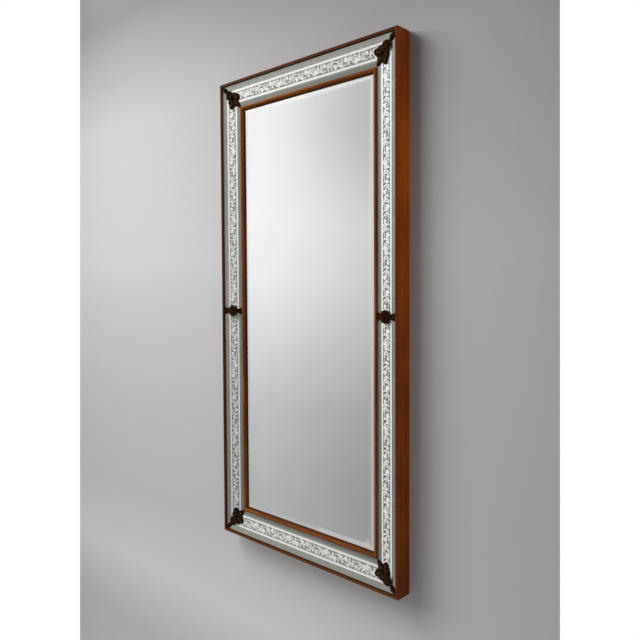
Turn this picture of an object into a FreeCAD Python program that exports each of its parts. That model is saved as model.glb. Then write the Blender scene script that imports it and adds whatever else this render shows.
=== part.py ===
import FreeCAD, Part
import math
import os
from types import SimpleNamespace

import Sketcher

# A tall wall mirror. A deep wooden case stands round a sloping border of six silvered glass strips,
# which lie on a wooden ground frame and fall towards a rounded inner moulding and a bevelled plate.
# Cast leaves and flowers pin the strips at the corners, cast straps and rosettes at mid height.
# Lengths are in millimetres. X runs to the right, Y into the wall and Z up. The origin is at the
# middle of the plane that meets the wall. Along a section, the inset u is counted from the frame's
# outer edge inwards and the depth d from the frame's front plane towards the wall.

DRIVING_SIZES = {
    # Case
    "frame_width": 820,
    "frame_height": 1700,
    "frame_depth": 60,
    "case_thickness": 10,
    "case_rounding": 1,
    # Sloping border of glass strips
    "border_width": 84,
    "strip_recess_outer": 6,
    "strip_recess_inner": 24,
    "strip_thickness": 4,
    "strip_joint_gap": 0.4,
    "line_inset": 23,
    "line_width": 7,
    "line_depth": 0.4,
    # Inner moulding
    "moulding_width": 15,
    "moulding_crest_width": 6,
    "moulding_crest_recess": 17,
    "moulding_foot_height": 2,
    "moulding_rounding": 2.4,
    # Ground frame and the space behind it
    "ground_ledge": 6,
    "back_recess": 14,
    # Mirror plate, backing card and the blocks that hold them
    "plate_edge_gap": 1,
    "plate_thickness": 5,
    "plate_seat_gap": 0.2,
    "bevel_width": 26,
    "bevel_drop": 2,
    "card_thickness": 1.5,
    "block_width": 12,
    "block_length": 40,
    "block_corner_distance": 190,
    # Back panel
    "panel_washer_gap": 5,
    "panel_thickness": 4,
    "panel_screw_inset": 8,
    "panel_screw_corner_distance": 90,
    # Cross brace
    "brace_height": 60,
    "brace_gap": 0.5,
    "brace_screw_inset": 14,
    "brace_screw_spacing": 36,
    "counterbore_radius": 4.2,
    "counterbore_depth": 3,
    "nut_relief_radius": 7,
    "nut_relief_depth": 7,
    # Corner brackets
    "bracket_arm": 80,
    "bracket_width": 20,
    "bracket_thickness": 2,
    "bracket_inset": 4,
    "bracket_screw_near": 44,
    "bracket_screw_far": 70,
    # Wood screws
    "screw_shank_radius": 1.75,
    "screw_head_radius": 3.5,
    "screw_head_height": 2,
    "screw_head_rounding": 1.2,
    "screw_slot_width": 0.9,
    "screw_slot_depth": 0.9,
    "screw_bite": 14,
    "screw_point": 4,
    "screw_hole_gap": 0.15,
    # Studs with nuts and washers
    "stud_radius": 2,
    "stud_hole_gap": 0.3,
    "stud_end": 0.8,
    "nut_thread_gap": 0.05,
    "nut_across_flats": 7,
    "nut_height": 3.2,
    "washer_radius": 5,
    "washer_thickness": 0.8,
    # Corner leaves, counted along the mitre from the case's inner corner
    "leaf_centre": 73,
    "leaf_length": 44,
    "leaf_lobe_width": 25,
    "leaf_plate": 3,
    "leaf_disc_radius": 13,
    "vein_radius": 1.5,
    "neck_width": 8,
    "bud_start": 3,
    "bud_end": 31,
    "bud_radius": 7,
    "bud_rise": 1,
    # Corner flowers
    "flower_centre": 50,
    "flower_petal_circle": 10,
    "flower_petal_radius": 8,
    "flower_petal_rise": 6.5,
    "flower_button_radius": 6,
    "flower_button_rise": 9.5,
    # Side straps and rosettes
    "strap_height": 26,
    "strap_waist": 16,
    "strap_plate": 2.5,
    "strap_tip_width": 5,
    "strap_tip_clear": 1,
    "strap_shoulder": 18,
    "rosette_radius": 22,
    "rosette_rise": 9,
    "rosette_petal_circle": 14,
    "rosette_petal_radius": 7,
    "rosette_petal_rise": 9.5,
    "rosette_button_radius": 6,
    "rosette_button_rise": 12,
    # Hanger plates and rings
    "hanger_drop": 330,
    "hanger_inset": 27,
    "hanger_plate_width": 16,
    "hanger_plate_length": 60,
    "hanger_plate_thickness": 1.5,
    "hanger_screw_first": 30,
    "hanger_screw_second": 50,
    "ring_wire_radius": 1.5,
    "ring_half_width": 11,
    "ring_leg": 6,
    "ring_plate_gap": 0.4,
    "ring_bore_gap": 0.06,
    "ring_side_gap": 0.5,
    # Overrun of cutting shapes past what they cut
    "overrun": 5,
}

FLOWER_PETALS = 6
ROSETTE_PETALS = 8
LEFT, RIGHT = -1, 1
BOTTOM, TOP = -1, 1
CORNERS = {
    "top_left": (LEFT, TOP),
    "top_right": (RIGHT, TOP),
    "bottom_left": (LEFT, BOTTOM),
    "bottom_right": (RIGHT, BOTTOM),
}
SIDES = {"left": LEFT, "right": RIGHT}
# Each lobe of a leaf: its direction from the inner tip, and its length and width as shares.
LOBE_SHARES = (
    (0, 1.0, 1.0),
    (70, 0.78, 0.95),
    (-70, 0.78, 0.95),
    (120, 0.6, 0.8),
    (-120, 0.6, 0.8),
)
VEIN_LENGTH_SHARE = 0.82
VEIN_TIP_SHARE = 0.3


class Size:
    """A length with the expression that gives it, so that a sum of sizes can be bound."""

    def __init__(self, text, value):
        self.text = text
        self.value = value

    def __add__(self, other):
        return Size(f"({self.text} + {other.text})", self.value + other.value)

    def __sub__(self, other):
        return Size(f"({self.text} - {other.text})", self.value - other.value)

    def __neg__(self):
        return Size(f"(0 - {self.text})", -self.value)

    def __mul__(self, number):
        return Size(f"({self.text} * {number})", self.value * number)

    def __truediv__(self, number):
        return Size(f"({self.text} / {number})", self.value / number)

    def times(self, other):
        return Size(f"({self.text} * {other.text})", self.value * other.value)

    def over(self, other):
        return Size(f"({self.text} / {other.text})", self.value / other.value)


doc = FreeCAD.newDocument("WallMirror")
sheet = doc.addObject("Spreadsheet::Sheet", "Sizes")
for row, (name, number) in enumerate(DRIVING_SIZES.items(), start=1):
    sheet.set(f"A{row}", name)
    sheet.set(f"B{row}", str(number))
    sheet.setAlias(f"B{row}", name)
doc.recompute()

s = SimpleNamespace(**{name: Size(f"Sizes.{name}", float(sheet.get(name))) for name in DRIVING_SIZES})
zero = Size("0", 0.0)
half_width = s.frame_width / 2
half_height = s.frame_height / 2
border_inner = s.case_thickness + s.border_width
sight = border_inner + s.moulding_width
ground_inner = border_inner + s.ground_ledge
ground_back = s.frame_depth - s.back_recess
tray_slope = (s.strip_recess_inner - s.strip_recess_outer).over(s.border_width)
sub_parts = []


def tray_depth(inset):
    """The depth of the glass strips' face at an inset."""
    return s.strip_recess_outer + tray_slope.times(inset - s.case_thickness)


moulding_foot = s.strip_recess_inner + s.strip_thickness
plate_inset = ground_inner + s.plate_edge_gap
bevel_rise_at_sight = s.bevel_drop.times(sight - plate_inset).over(s.bevel_width)
plate_front = moulding_foot + s.plate_seat_gap - s.bevel_drop + bevel_rise_at_sight
plate_back = plate_front + s.plate_thickness
card_back = plate_back + s.card_thickness
stud_hole_radius = s.stud_radius + s.stud_hole_gap
screw_hole_radius = s.screw_shank_radius + s.screw_hole_gap
rosette_inset = s.case_thickness + s.border_width / 2
flower_inset = s.case_thickness + s.flower_centre / math.sqrt(2)
panel_inset = rosette_inset + s.washer_radius + s.panel_washer_gap


def bind(thing, path, size):
    thing.setExpression(path, size.text)


def across(side_sign, inset):
    """The X of a point at an inset from the left or right edge."""
    return (half_width - inset) * side_sign


def upward(end_sign, inset):
    """The Z of a point at an inset from the top or bottom edge."""
    return (half_height - inset) * end_sign


def new_body(label):
    body = doc.addObject("PartDesign::Body", label)
    body.Label = label
    sub_parts.append(body)
    return body


def new_sketch(body, name, plane, shift=None):
    sketch = body.newObject("Sketcher::SketchObject", name)
    origin_plane = next(f for f in body.Origin.OriginFeatures if f.Role == plane)
    sketch.AttachmentSupport = (origin_plane, [""])
    sketch.MapMode = "FlatFace"
    if shift is not None:
        bind(sketch, "AttachmentOffset.Base.z", shift)
    return sketch


def bind_point(sketch, geometry, position, point):
    """Hold a point of the sketch at its distances from the sketch's origin."""
    for direction, size in zip(("DistanceX", "DistanceY"), point):
        constraint = Sketcher.Constraint(direction, -1, 1, geometry, position, size.value)
        index = sketch.addConstraint(constraint)
        bind(sketch, f"Constraints[{index}]", size)


def draw_polygon(sketch, points):
    first = sketch.GeometryCount
    count = len(points)
    vectors = [FreeCAD.Vector(a.value, b.value, 0) for a, b in points]
    for i in range(count):
        sketch.addGeometry(Part.LineSegment(vectors[i], vectors[(i + 1) % count]))
    for i in range(count):
        following = first + (i + 1) % count
        sketch.addConstraint(Sketcher.Constraint("Coincident", first + i, 2, following, 1))
    for i, point in enumerate(points):
        bind_point(sketch, first + i, 1, point)


def draw_circle(sketch, centre, radius):
    middle = FreeCAD.Vector(centre[0].value, centre[1].value, 0)
    circle = sketch.addGeometry(Part.Circle(middle, FreeCAD.Vector(0, 0, 1), radius.value))
    index = sketch.addConstraint(Sketcher.Constraint("Radius", circle, radius.value))
    bind(sketch, f"Constraints[{index}]", radius)
    bind_point(sketch, circle, 3, centre)


def pad(body, name, plane, polygon, start, length):
    """A straight solid of a polygon, from start along the plane's normal."""
    sketch = new_sketch(body, name + "_sketch", plane, start)
    draw_polygon(sketch, polygon)
    feature = body.newObject("PartDesign::Pad", name)
    feature.Profile = sketch
    bind(feature, "Length", length)
    doc.recompute()
    return feature


def cut_polygons(body, name, plane, polygons):
    """Cut polygons right through the body, both ways."""
    sketch = new_sketch(body, name + "_sketch", plane)
    for polygon in polygons:
        draw_polygon(sketch, polygon)
    feature = body.newObject("PartDesign::Pocket", name)
    feature.Profile = sketch
    feature.Type = "ThroughAll"
    feature.SideType = "Symmetric"
    doc.recompute()


def drill(body, name, spots, radius, start=None, depth=None, to_front=True):
    """Round holes along Y: right through, or of one depth from a plane at start before the wall."""
    sketch = new_sketch(body, name + "_sketch", "XZ_Plane", start)
    for spot in spots:
        draw_circle(sketch, spot, radius)
    before = body.Shape.Volume
    feature = body.newObject("PartDesign::Pocket", name)
    feature.Profile = sketch
    if depth is None:
        feature.Type = "ThroughAll"
        feature.SideType = "Symmetric"
    else:
        bind(feature, "Length", depth)
        feature.Reversed = to_front
    doc.recompute()
    if not body.Shape.Volume < before:
        raise RuntimeError(f"{body.Label}: {name} removes nothing")


def section_point(side, inset, depth):
    """A section's point in its sketch: Y and Z on the top and bottom, X and Y on the sides."""
    y = depth - s.frame_depth
    if side in ("top", "bottom"):
        return y, upward(TOP if side == "top" else BOTTOM, inset)
    return across(SIDES[side], inset), y


def round_arrises(body, name, side, arrises, radius):
    """Round the long edges that pass through the given points of the section."""
    base = body.Tip
    horizontal = side in ("top", "bottom")
    names = []
    for inset, depth in arrises:
        first, second = (p.value for p in section_point(side, inset, depth))
        for number, edge in enumerate(base.Shape.Edges, start=1):
            ends = [v.Point for v in edge.Vertexes]
            found = [(p.y, p.z) if horizontal else (p.x, p.y) for p in ends]
            if all(math.dist(p, (first, second)) < Part.Precision.confusion() * 100 for p in found):
                names.append(f"Edge{number}")
    feature = body.newObject("PartDesign::Fillet", name)
    feature.Base = (base, names)
    bind(feature, "Radius", radius)
    doc.recompute()


def mitre(body, side, ends, reach):
    """Cut the named ends of a member along the frame's diagonals."""
    over = -s.overrun
    triangles = []
    for end in ends:
        if side in ("top", "bottom"):
            signs = (end, TOP if side == "top" else BOTTOM)
            insets = ((over, over), (reach, reach), (over, reach))
        else:
            signs = (SIDES[side], end)
            insets = ((over, over), (reach, reach), (reach, over))
        triangles.append([(across(signs[0], a), upward(signs[1], b)) for a, b in insets])
    cut_polygons(body, "mitre", "XZ_Plane", triangles)


def member(label, side, section, start, length, ends, rounded=(), radius=None):
    """One straight member of a four-sided frame, with mitred ends."""
    body = new_body(label)
    plane = "YZ_Plane" if side in ("top", "bottom") else "XY_Plane"
    points = [section_point(side, inset, depth) for inset, depth in section]
    pad(body, "length", plane, points, start, length)
    if rounded:
        round_arrises(body, "arrises", side, rounded, radius)
    reach = max((inset for inset, _ in section), key=lambda size: size.value) + s.overrun
    mitre(body, side, ends, reach)
    return body


def frame_ring(prefix, section, rounded=(), radius=None):
    """Four mitred members of one section, round the whole frame."""
    bodies = {}
    for side in ("top", "bottom", "left", "right"):
        half = half_width if side in ("top", "bottom") else half_height
        inset = min((u for u, _ in section), key=lambda size: size.value)
        start = inset - half
        label = f"{prefix}_{side}"
        bodies[side] = member(label, side, section, start, -start * 2, (-1, 1), rounded, radius)
    return bodies


# Holes that several pieces share

corner_stud_spots = {
    name: (across(sx, flower_inset), upward(sz, flower_inset)) for name, (sx, sz) in CORNERS.items()
}
side_stud_spots = {side: (across(sign, rosette_inset), zero) for side, sign in SIDES.items()}
panel_screw_line = panel_inset + s.panel_screw_inset
panel_screw_end = half_height - panel_screw_line - s.panel_screw_corner_distance
panel_screw_ends = {
    end: [(across(sign, panel_screw_line + s.panel_screw_corner_distance), upward(end_sign, panel_screw_line))
          for sign in (LEFT, RIGHT)]
    for end, end_sign in (("bottom", BOTTOM), ("top", TOP))
}
panel_screw_sides = {
    side: [(across(sign, panel_screw_line), panel_screw_end * share) for share in (-1, -0.5, 0.5, 1)]
    for side, sign in SIDES.items()
}
bracket_edge = s.case_thickness + s.bracket_inset
bracket_line = bracket_edge + s.bracket_width / 2
bracket_screw_places = (bracket_edge + s.bracket_screw_near, bracket_edge + s.bracket_screw_far)
bracket_screw_flat = {
    name: [(across(sx, place), upward(sz, bracket_line)) for place in bracket_screw_places]
    for name, (sx, sz) in CORNERS.items()
}
bracket_screw_upright = {
    name: [(across(sx, bracket_line), upward(sz, place)) for place in bracket_screw_places]
    for name, (sx, sz) in CORNERS.items()
}
brace_screw_spots = {
    side: [(across(sign, s.case_thickness + s.brace_screw_inset), s.brace_screw_spacing / 2 * end)
           for end in (BOTTOM, TOP)]
    for side, sign in SIDES.items()
}
ring_height = half_height - s.hanger_drop
hanger_screw_spots = {
    side: [(across(sign, s.hanger_inset), ring_height - place)
           for place in (s.hanger_screw_first, s.hanger_screw_second)]
    for side, sign in SIDES.items()
}


def corners_of(side):
    return [name for name in CORNERS if side in name.split("_")]


# Case

case_section = (
    (zero, zero),
    (s.case_thickness, zero),
    (s.case_thickness, s.frame_depth),
    (zero, s.frame_depth),
)
frame_ring("case", case_section, ((zero, zero), (s.case_thickness, zero)), s.case_rounding)

# Ground frame

ground_section = (
    (s.case_thickness, s.strip_recess_outer + s.strip_thickness),
    (border_inner, moulding_foot),
    (ground_inner, moulding_foot),
    (ground_inner, ground_back),
    (s.case_thickness, ground_back),
)
ground = frame_ring("ground", ground_section)
for side in ("top", "bottom"):
    studs = [corner_stud_spots[name] for name in corners_of(side)]
    drill(ground[side], "stud_holes", studs, stud_hole_radius)
    pilots = panel_screw_ends[side] + [spot for name in corners_of(side) for spot in bracket_screw_flat[name]]
    drill(ground[side], "pilot_holes", pilots, screw_hole_radius, s.back_recess, s.screw_bite)
for side in SIDES:
    studs = [corner_stud_spots[name] for name in corners_of(side)] + [side_stud_spots[side]]
    drill(ground[side], "stud_holes", studs, stud_hole_radius)
    pilots = panel_screw_sides[side] + brace_screw_spots[side] + hanger_screw_spots[side]
    pilots += [spot for name in corners_of(side) for spot in bracket_screw_upright[name]]
    drill(ground[side], "pilot_holes", pilots, screw_hole_radius, s.back_recess, s.screw_bite)


# Glass strips

def groove(inset):
    """A shallow cut line along a strip, as three points of its section."""
    half = s.line_width / 2
    return (
        (inset - half, tray_depth(inset - half)),
        (inset, tray_depth(inset) + s.line_depth),
        (inset + half, tray_depth(inset + half)),
    )


strip_section = (
    (s.case_thickness, s.strip_recess_outer),
    *groove(s.case_thickness + s.line_inset),
    *groove(border_inner - s.line_inset),
    (border_inner, s.strip_recess_inner),
    (border_inner, s.strip_recess_inner + s.strip_thickness),
    (s.case_thickness, s.strip_recess_outer + s.strip_thickness),
)
for side in ("top", "bottom"):
    start = s.case_thickness - half_width
    strip = member(f"glass_strip_{side}", side, strip_section, start, -start * 2, (-1, 1))
    drill(strip, "stud_holes", [corner_stud_spots[name] for name in corners_of(side)], stud_hole_radius)
for side in SIDES:
    for half, end in (("lower", BOTTOM), ("upper", TOP)):
        length = half_height - s.case_thickness - s.strip_joint_gap / 2
        start = s.strip_joint_gap / 2 if end == TOP else s.case_thickness - half_height
        strip = member(f"glass_strip_{side}_{half}", side, strip_section, start, length, (end,))
        corner = f"{'top' if end == TOP else 'bottom'}_{side}"
        drill(strip, "stud_holes", [corner_stud_spots[corner], side_stud_spots[side]], stud_hole_radius)

# Inner moulding

moulding_section = (
    (border_inner, moulding_foot),
    (border_inner, s.moulding_crest_recess),
    (border_inner + s.moulding_crest_width, s.moulding_crest_recess),
    (sight, moulding_foot - s.moulding_foot_height),
    (sight, moulding_foot),
)
frame_ring("inner_moulding", moulding_section, moulding_section[1:3], s.moulding_rounding)


# Mirror plate, backing card and back panel

def new_part(kind, label, keep=False):
    thing = doc.addObject(kind, label)
    thing.Label = label
    if keep:
        sub_parts.append(thing)
    return thing


def place(thing, x, y, z, axis=None, angle=None):
    """Bind a thing's place, after turning it about an axis where one is given."""
    if axis is not None:
        thing.Placement = FreeCAD.Placement(FreeCAD.Vector(), FreeCAD.Rotation(axis, angle))
    bind(thing, ".Placement.Base.x", x)
    bind(thing, ".Placement.Base.y", y)
    bind(thing, ".Placement.Base.z", z)


plate_half_width = half_width - plate_inset
plate_half_height = half_height - plate_inset
slab = new_part("Part::Box", "plate_slab")
bind(slab, "Length", plate_half_width * 2)
bind(slab, "Width", s.plate_thickness - s.bevel_drop)
bind(slab, "Height", plate_half_height * 2)
place(slab, -plate_half_width, plate_front + s.bevel_drop - s.frame_depth, -plate_half_height)
bevel = new_part("Part::Wedge", "plate_bevel")
bind(bevel, "Ymin", plate_front - s.frame_depth)
bind(bevel, "Ymax", plate_front + s.bevel_drop - s.frame_depth)
for letter, half in (("X", plate_half_width), ("Z", plate_half_height)):
    bind(bevel, f"{letter}min", s.bevel_width - half)
    bind(bevel, f"{letter}max", half - s.bevel_width)
    bind(bevel, f"{letter}2min", -half)
    bind(bevel, f"{letter}2max", half)
plate = new_part("Part::Fuse", "mirror_plate", keep=True)
plate.Base = slab
plate.Tool = bevel


def rectangle(half_x, half_z):
    return (-half_x, -half_z), (half_x, -half_z), (half_x, half_z), (-half_x, half_z)


card = new_body("backing_card")
pad(card, "sheet", "XZ_Plane", rectangle(plate_half_width, plate_half_height), s.frame_depth - card_back,
    s.card_thickness)

panel = new_body("back_panel")
panel_shape = rectangle(half_width - panel_inset, half_height - panel_inset)
pad(panel, "board", "XZ_Plane", panel_shape, s.back_recess - s.panel_thickness, s.panel_thickness)
panel_screw_spots = sum((*panel_screw_ends.values(), *panel_screw_sides.values()), [])
drill(panel, "screw_holes", panel_screw_spots, screw_hole_radius)

# Cross brace, notched over the back panel and relieved over the side studs' nuts

brace_half_length = half_width - s.case_thickness - s.brace_gap
notch_half_length = half_width - panel_inset + s.brace_gap
brace = new_body("cross_brace")
brace_front = -s.back_recess
brace_section = (
    (-brace_half_length, zero),
    (-brace_half_length, brace_front),
    (-notch_half_length, brace_front),
    (-notch_half_length, brace_front + s.panel_thickness),
    (notch_half_length, brace_front + s.panel_thickness),
    (notch_half_length, brace_front),
    (brace_half_length, brace_front),
    (brace_half_length, zero),
)
pad(brace, "board", "XY_Plane", brace_section, -s.brace_height / 2, s.brace_height)
brace_screws = sum(brace_screw_spots.values(), [])
drill(brace, "screw_holes", brace_screws, screw_hole_radius)
drill(brace, "counterbores", brace_screws, s.counterbore_radius, zero, s.counterbore_depth)
drill(brace, "nut_reliefs", list(side_stud_spots.values()), s.nut_relief_radius, s.back_recess,
      s.nut_relief_depth, to_front=False)

# Corner brackets

for name, (sx, sz) in CORNERS.items():
    bracket = new_body(f"corner_bracket_{name}")
    near = s.case_thickness + s.bracket_inset
    inner = near + s.bracket_width
    far = near + s.bracket_arm
    corner_insets = ((near, near), (far, near), (far, inner), (inner, inner), (inner, far), (near, far))
    outline = [(across(sx, a), upward(sz, b)) for a, b in corner_insets]
    pad(bracket, "plate", "XZ_Plane", outline, s.back_recess - s.bracket_thickness, s.bracket_thickness)
    drill(bracket, "screw_holes", bracket_screw_flat[name] + bracket_screw_upright[name], screw_hole_radius)

# Side straps, one across each border at mid height

for side, sign in SIDES.items():
    strap = new_body(f"side_strap_{side}")
    tip = s.strap_tip_width
    tip_front = s.moulding_crest_recess + s.strap_tip_clear
    outer_shoulder = s.case_thickness + tip
    inner_shoulder = border_inner - tip
    strap_section = (
        (s.case_thickness, s.strip_recess_outer),
        (border_inner, s.strip_recess_inner),
        (border_inner, tip_front),
        (border_inner - tip / 2, tip_front),
        (inner_shoulder - tip, tray_depth(inner_shoulder - tip) - s.strap_plate),
        (outer_shoulder, tray_depth(outer_shoulder) - s.strap_plate),
        (s.case_thickness, s.strap_tip_clear),
    )
    points = [section_point(side, inset, depth) for inset, depth in strap_section]
    pad(strap, "length", "XY_Plane", points, -s.strap_height / 2, s.strap_height)
    notches = []
    for end in (BOTTOM, TOP):
        high = (s.strap_height / 2 + s.overrun) * end
        edge = s.strap_height / 2 * end
        waist = s.strap_waist / 2 * end
        insets = (
            (outer_shoulder, high),
            (outer_shoulder, edge),
            (outer_shoulder + s.strap_shoulder, waist),
            (inner_shoulder - s.strap_shoulder, waist),
            (inner_shoulder, edge),
            (inner_shoulder, high),
        )
        notches.append([(across(sign, inset), z) for inset, z in insets])
    cut_polygons(strap, "waist", "XZ_Plane", notches)
    drill(strap, "stud_hole", [side_stud_spots[side]], stud_hole_radius)


# Castings with free forms: each is one solid, made about the case's inner corner or inner face from
# the sheet's sizes, for the top right quarter, and then mirrored and placed

backward = FreeCAD.Vector(0, 1, 0)


def casting(label, shape, x=zero, z=zero):
    feature = new_part("Part::Feature", label, keep=True)
    feature.Shape = shape
    place(feature, x, zero, z)


def mirrored(shape, sx, sz):
    """A shape of the top right quarter, turned over for the quarter with these signs."""
    if sx == LEFT:
        shape = shape.mirror(FreeCAD.Vector(), FreeCAD.Vector(1, 0, 0))
    if sz == BOTTOM:
        shape = shape.mirror(FreeCAD.Vector(), FreeCAD.Vector(0, 0, 1))
    return shape


def face_y(distance, lift=0.0):
    """The Y of the strips' face at a distance from the case's inner face, raised by a lift."""
    recess = s.strip_recess_outer.value + tray_slope.value * distance
    return recess - lift - s.frame_depth.value


def border_space(along, lift, behind, first, last):
    """The space behind, or before, a border's raised face, from a first to a last place along it."""
    over = s.overrun.value
    near, far = -over, s.border_width.value + over
    limit = over if behind else -s.frame_depth.value - over
    profile = ((near, face_y(near, lift)), (far, face_y(far, lift)), (far, limit), (near, limit))
    if along == "x":
        points = [FreeCAD.Vector(first, y, -distance) for distance, y in profile]
        reach = FreeCAD.Vector(last - first, 0, 0)
    else:
        points = [FreeCAD.Vector(-distance, y, first) for distance, y in profile]
        reach = FreeCAD.Vector(0, 0, last - first)
    return Part.Face(Part.makePolygon(points + points[:1])).extrude(reach)


def corner_space(along, lift, behind):
    return border_space(along, lift, behind, s.overrun.value, -s.border_width.value - s.overrun.value)


def corner_point(along, aside, lift=0.0):
    """A point over the corner: along the mitre, aside from it, and lifted off the glass."""
    a = (along + aside) / math.sqrt(2)
    b = (along - aside) / math.sqrt(2)
    return FreeCAD.Vector(-a, face_y(min(a, b), lift), -b)


def plan_point(along, aside):
    point = corner_point(along, aside)
    return FreeCAD.Vector(point.x, 0, point.z)


def upright_prism(outline):
    """A prism of an outline drawn at the wall, which reaches out past the frame's front."""
    return Part.Face(outline).extrude(-backward * (s.frame_depth.value + s.overrun.value))


def lobe_outline(centre, angle, length, width):
    """A pointed oval of two arcs, from the leaf's centre outwards."""
    turn = math.radians(angle)

    def spot(distance, offset):
        along = centre + math.cos(turn) * distance - math.sin(turn) * offset
        aside = math.sin(turn) * distance + math.cos(turn) * offset
        return plan_point(along, aside)

    root, tip = spot(0, 0), spot(length, 0)
    first = Part.Arc(root, spot(length / 2, width / 2), tip).toShape()
    second = Part.Arc(tip, spot(length / 2, -width / 2), root).toShape()
    return Part.Wire([first, second])


def corner_leaf():
    """Leaf, neck and bud in one casting that lies in the valley of the top right corner."""
    centre = s.leaf_centre.value
    plate_lift = s.leaf_plate.value
    prisms = []
    veins = []
    for angle, length_share, width_share in LOBE_SHARES:
        length = s.leaf_length.value * length_share
        width = s.leaf_lobe_width.value * width_share
        prisms.append(upright_prism(lobe_outline(centre, angle, length, width)))
        turn = math.radians(angle)
        reach = length * VEIN_LENGTH_SHARE
        start = corner_point(centre, 0, plate_lift)
        run = corner_point(centre + math.cos(turn) * reach, math.sin(turn) * reach, plate_lift) - start
        radius = s.vein_radius.value
        veins.append(Part.makeCone(radius, radius * VEIN_TIP_SHARE, run.Length, start, run))
    for along in (centre, s.flower_centre.value):
        circle = Part.Circle(plan_point(along, 0), backward, s.leaf_disc_radius.value).toShape()
        prisms.append(upright_prism(Part.Wire([circle])))
    half_neck = s.neck_width.value / 2
    neck_start = (s.bud_start.value + s.bud_end.value) / 2
    ends = ((neck_start, -half_neck), (centre, -half_neck), (centre, half_neck), (neck_start, half_neck))
    neck = [plan_point(along, aside) for along, aside in ends]
    prisms.append(upright_prism(Part.makePolygon(neck + neck[:1])))
    sheet_metal = prisms[0].fuse(prisms[1:])
    in_front = corner_space("x", plate_lift, False).common(corner_space("z", plate_lift, False))
    start = corner_point(s.bud_start.value, 0, s.bud_rise.value)
    end = corner_point(s.bud_end.value, 0, s.bud_rise.value)
    run = end - start
    widest = (start + end) / 2 + run.cross(backward).normalize() * s.bud_radius.value
    half_bud = Part.Wire([Part.Arc(start, widest, end).toShape(), Part.LineSegment(end, start).toShape()])
    bud = Part.Face(half_bud).revolve(start, run, 360)
    if bud.Volume < 0:
        bud.reverse()
    whole = sheet_metal.cut(in_front).fuse(veins + [bud])
    for along in ("x", "z"):
        whole = whole.cut(corner_space(along, 0.0, True))
    foot = plan_point(s.flower_centre.value, 0)
    hole = Part.makeCylinder(stud_hole_radius.value, s.frame_depth.value, foot, -backward)
    return whole.cut(hole).removeSplitter()


def domes(seat, count, circle, radius, rise, button_radius, button_rise):
    """A ring of rounded petals about a raised button: balls sunk so that each has its own rise."""
    balls = []
    for i in range(count):
        turn = math.tau * i / count
        place = FreeCAD.Vector(math.cos(turn) * circle, radius - rise, math.sin(turn) * circle)
        balls.append(Part.makeSphere(radius, seat + place))
    button = Part.makeSphere(button_radius, seat + backward * (button_radius - button_rise))
    return button.fuse(balls)


def with_stud(head, seat):
    """Add a round stud along Y, from inside the ornament to just past its nut."""
    start = seat - backward * s.stud_radius.value
    stud_end = s.washer_thickness + s.nut_height + s.stud_end - s.back_recess
    stud = Part.makeCylinder(s.stud_radius.value, stud_end.value - start.y, start, backward)
    return head.fuse(stud).removeSplitter()


leaf_shape = corner_leaf()
flower_seat = corner_point(s.flower_centre.value, 0, s.leaf_plate.value)
flower_shape = domes(flower_seat, FLOWER_PETALS, s.flower_petal_circle.value, s.flower_petal_radius.value,
                     s.flower_petal_rise.value, s.flower_button_radius.value, s.flower_button_rise.value)
for along in ("x", "z"):
    flower_shape = flower_shape.cut(corner_space(along, s.leaf_plate.value, True))
flower_shape = with_stud(flower_shape, flower_seat)
for name, (sx, sz) in CORNERS.items():
    corner_x = across(sx, s.case_thickness)
    corner_z = upward(sz, s.case_thickness)
    casting(f"corner_leaf_{name}", mirrored(leaf_shape, sx, sz), corner_x, corner_z)
    casting(f"corner_flower_{name}", mirrored(flower_shape, sx, sz), corner_x, corner_z)

middle = s.border_width.value / 2
rosette_seat = FreeCAD.Vector(-middle, face_y(middle, s.strap_plate.value), 0)
radius, rise = s.rosette_radius.value, s.rosette_rise.value
ball_radius = (radius**2 + rise**2) / (2 * rise)
rim = Part.makeCylinder(radius, s.frame_depth.value, rosette_seat - backward * rise, backward)
ball = Part.makeSphere(ball_radius, rosette_seat + backward * (ball_radius - rise))
petals = domes(rosette_seat, ROSETTE_PETALS, s.rosette_petal_circle.value, s.rosette_petal_radius.value,
               s.rosette_petal_rise.value, s.rosette_button_radius.value, s.rosette_button_rise.value)
behind = border_space("z", s.strap_plate.value, True, radius * 2, -radius * 2)
rosette_shape = with_stud(ball.common(rim).fuse(petals).cut(behind), rosette_seat)
for side, sign in SIDES.items():
    casting(f"side_rosette_{side}", mirrored(rosette_shape, sign, TOP), across(sign, s.case_thickness))


# Fasteners and blocks: like pieces share one node as separate solids

def group(label, solids):
    casting(label, Part.makeCompound(solids))


def wood_screw(spot, head_seat):
    """A round-headed slotted screw along Y whose head rests on a plane at head_seat."""
    seat = FreeCAD.Vector(spot[0].value, head_seat.value, spot[1].value)
    head = Part.makeCylinder(s.screw_head_radius.value, s.screw_head_height.value, seat, backward)
    crown = seat.y + s.screw_head_height.value
    near_crown = s.screw_slot_depth.value
    rims = [edge for edge in head.Edges if edge.Closed and abs(edge.CenterOfMass.y - crown) < near_crown]
    head = head.makeFillet(s.screw_head_rounding.value, rims)
    width, radius = s.screw_slot_width.value, s.screw_head_radius.value
    corner = FreeCAD.Vector(seat.x - radius, crown - s.screw_slot_depth.value, seat.z - width / 2)
    head = head.cut(Part.makeBox(radius * 2, s.screw_slot_depth.value, width, corner))
    shank_length = (head_seat + s.back_recess).value + s.screw_bite.value - s.screw_point.value
    shank = Part.makeCylinder(s.screw_shank_radius.value, shank_length, seat, -backward)
    neck = seat - backward * shank_length
    point = Part.makeCone(s.screw_shank_radius.value, 0, s.screw_point.value, neck, -backward)
    return head.fuse([shank, point]).removeSplitter()


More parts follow.
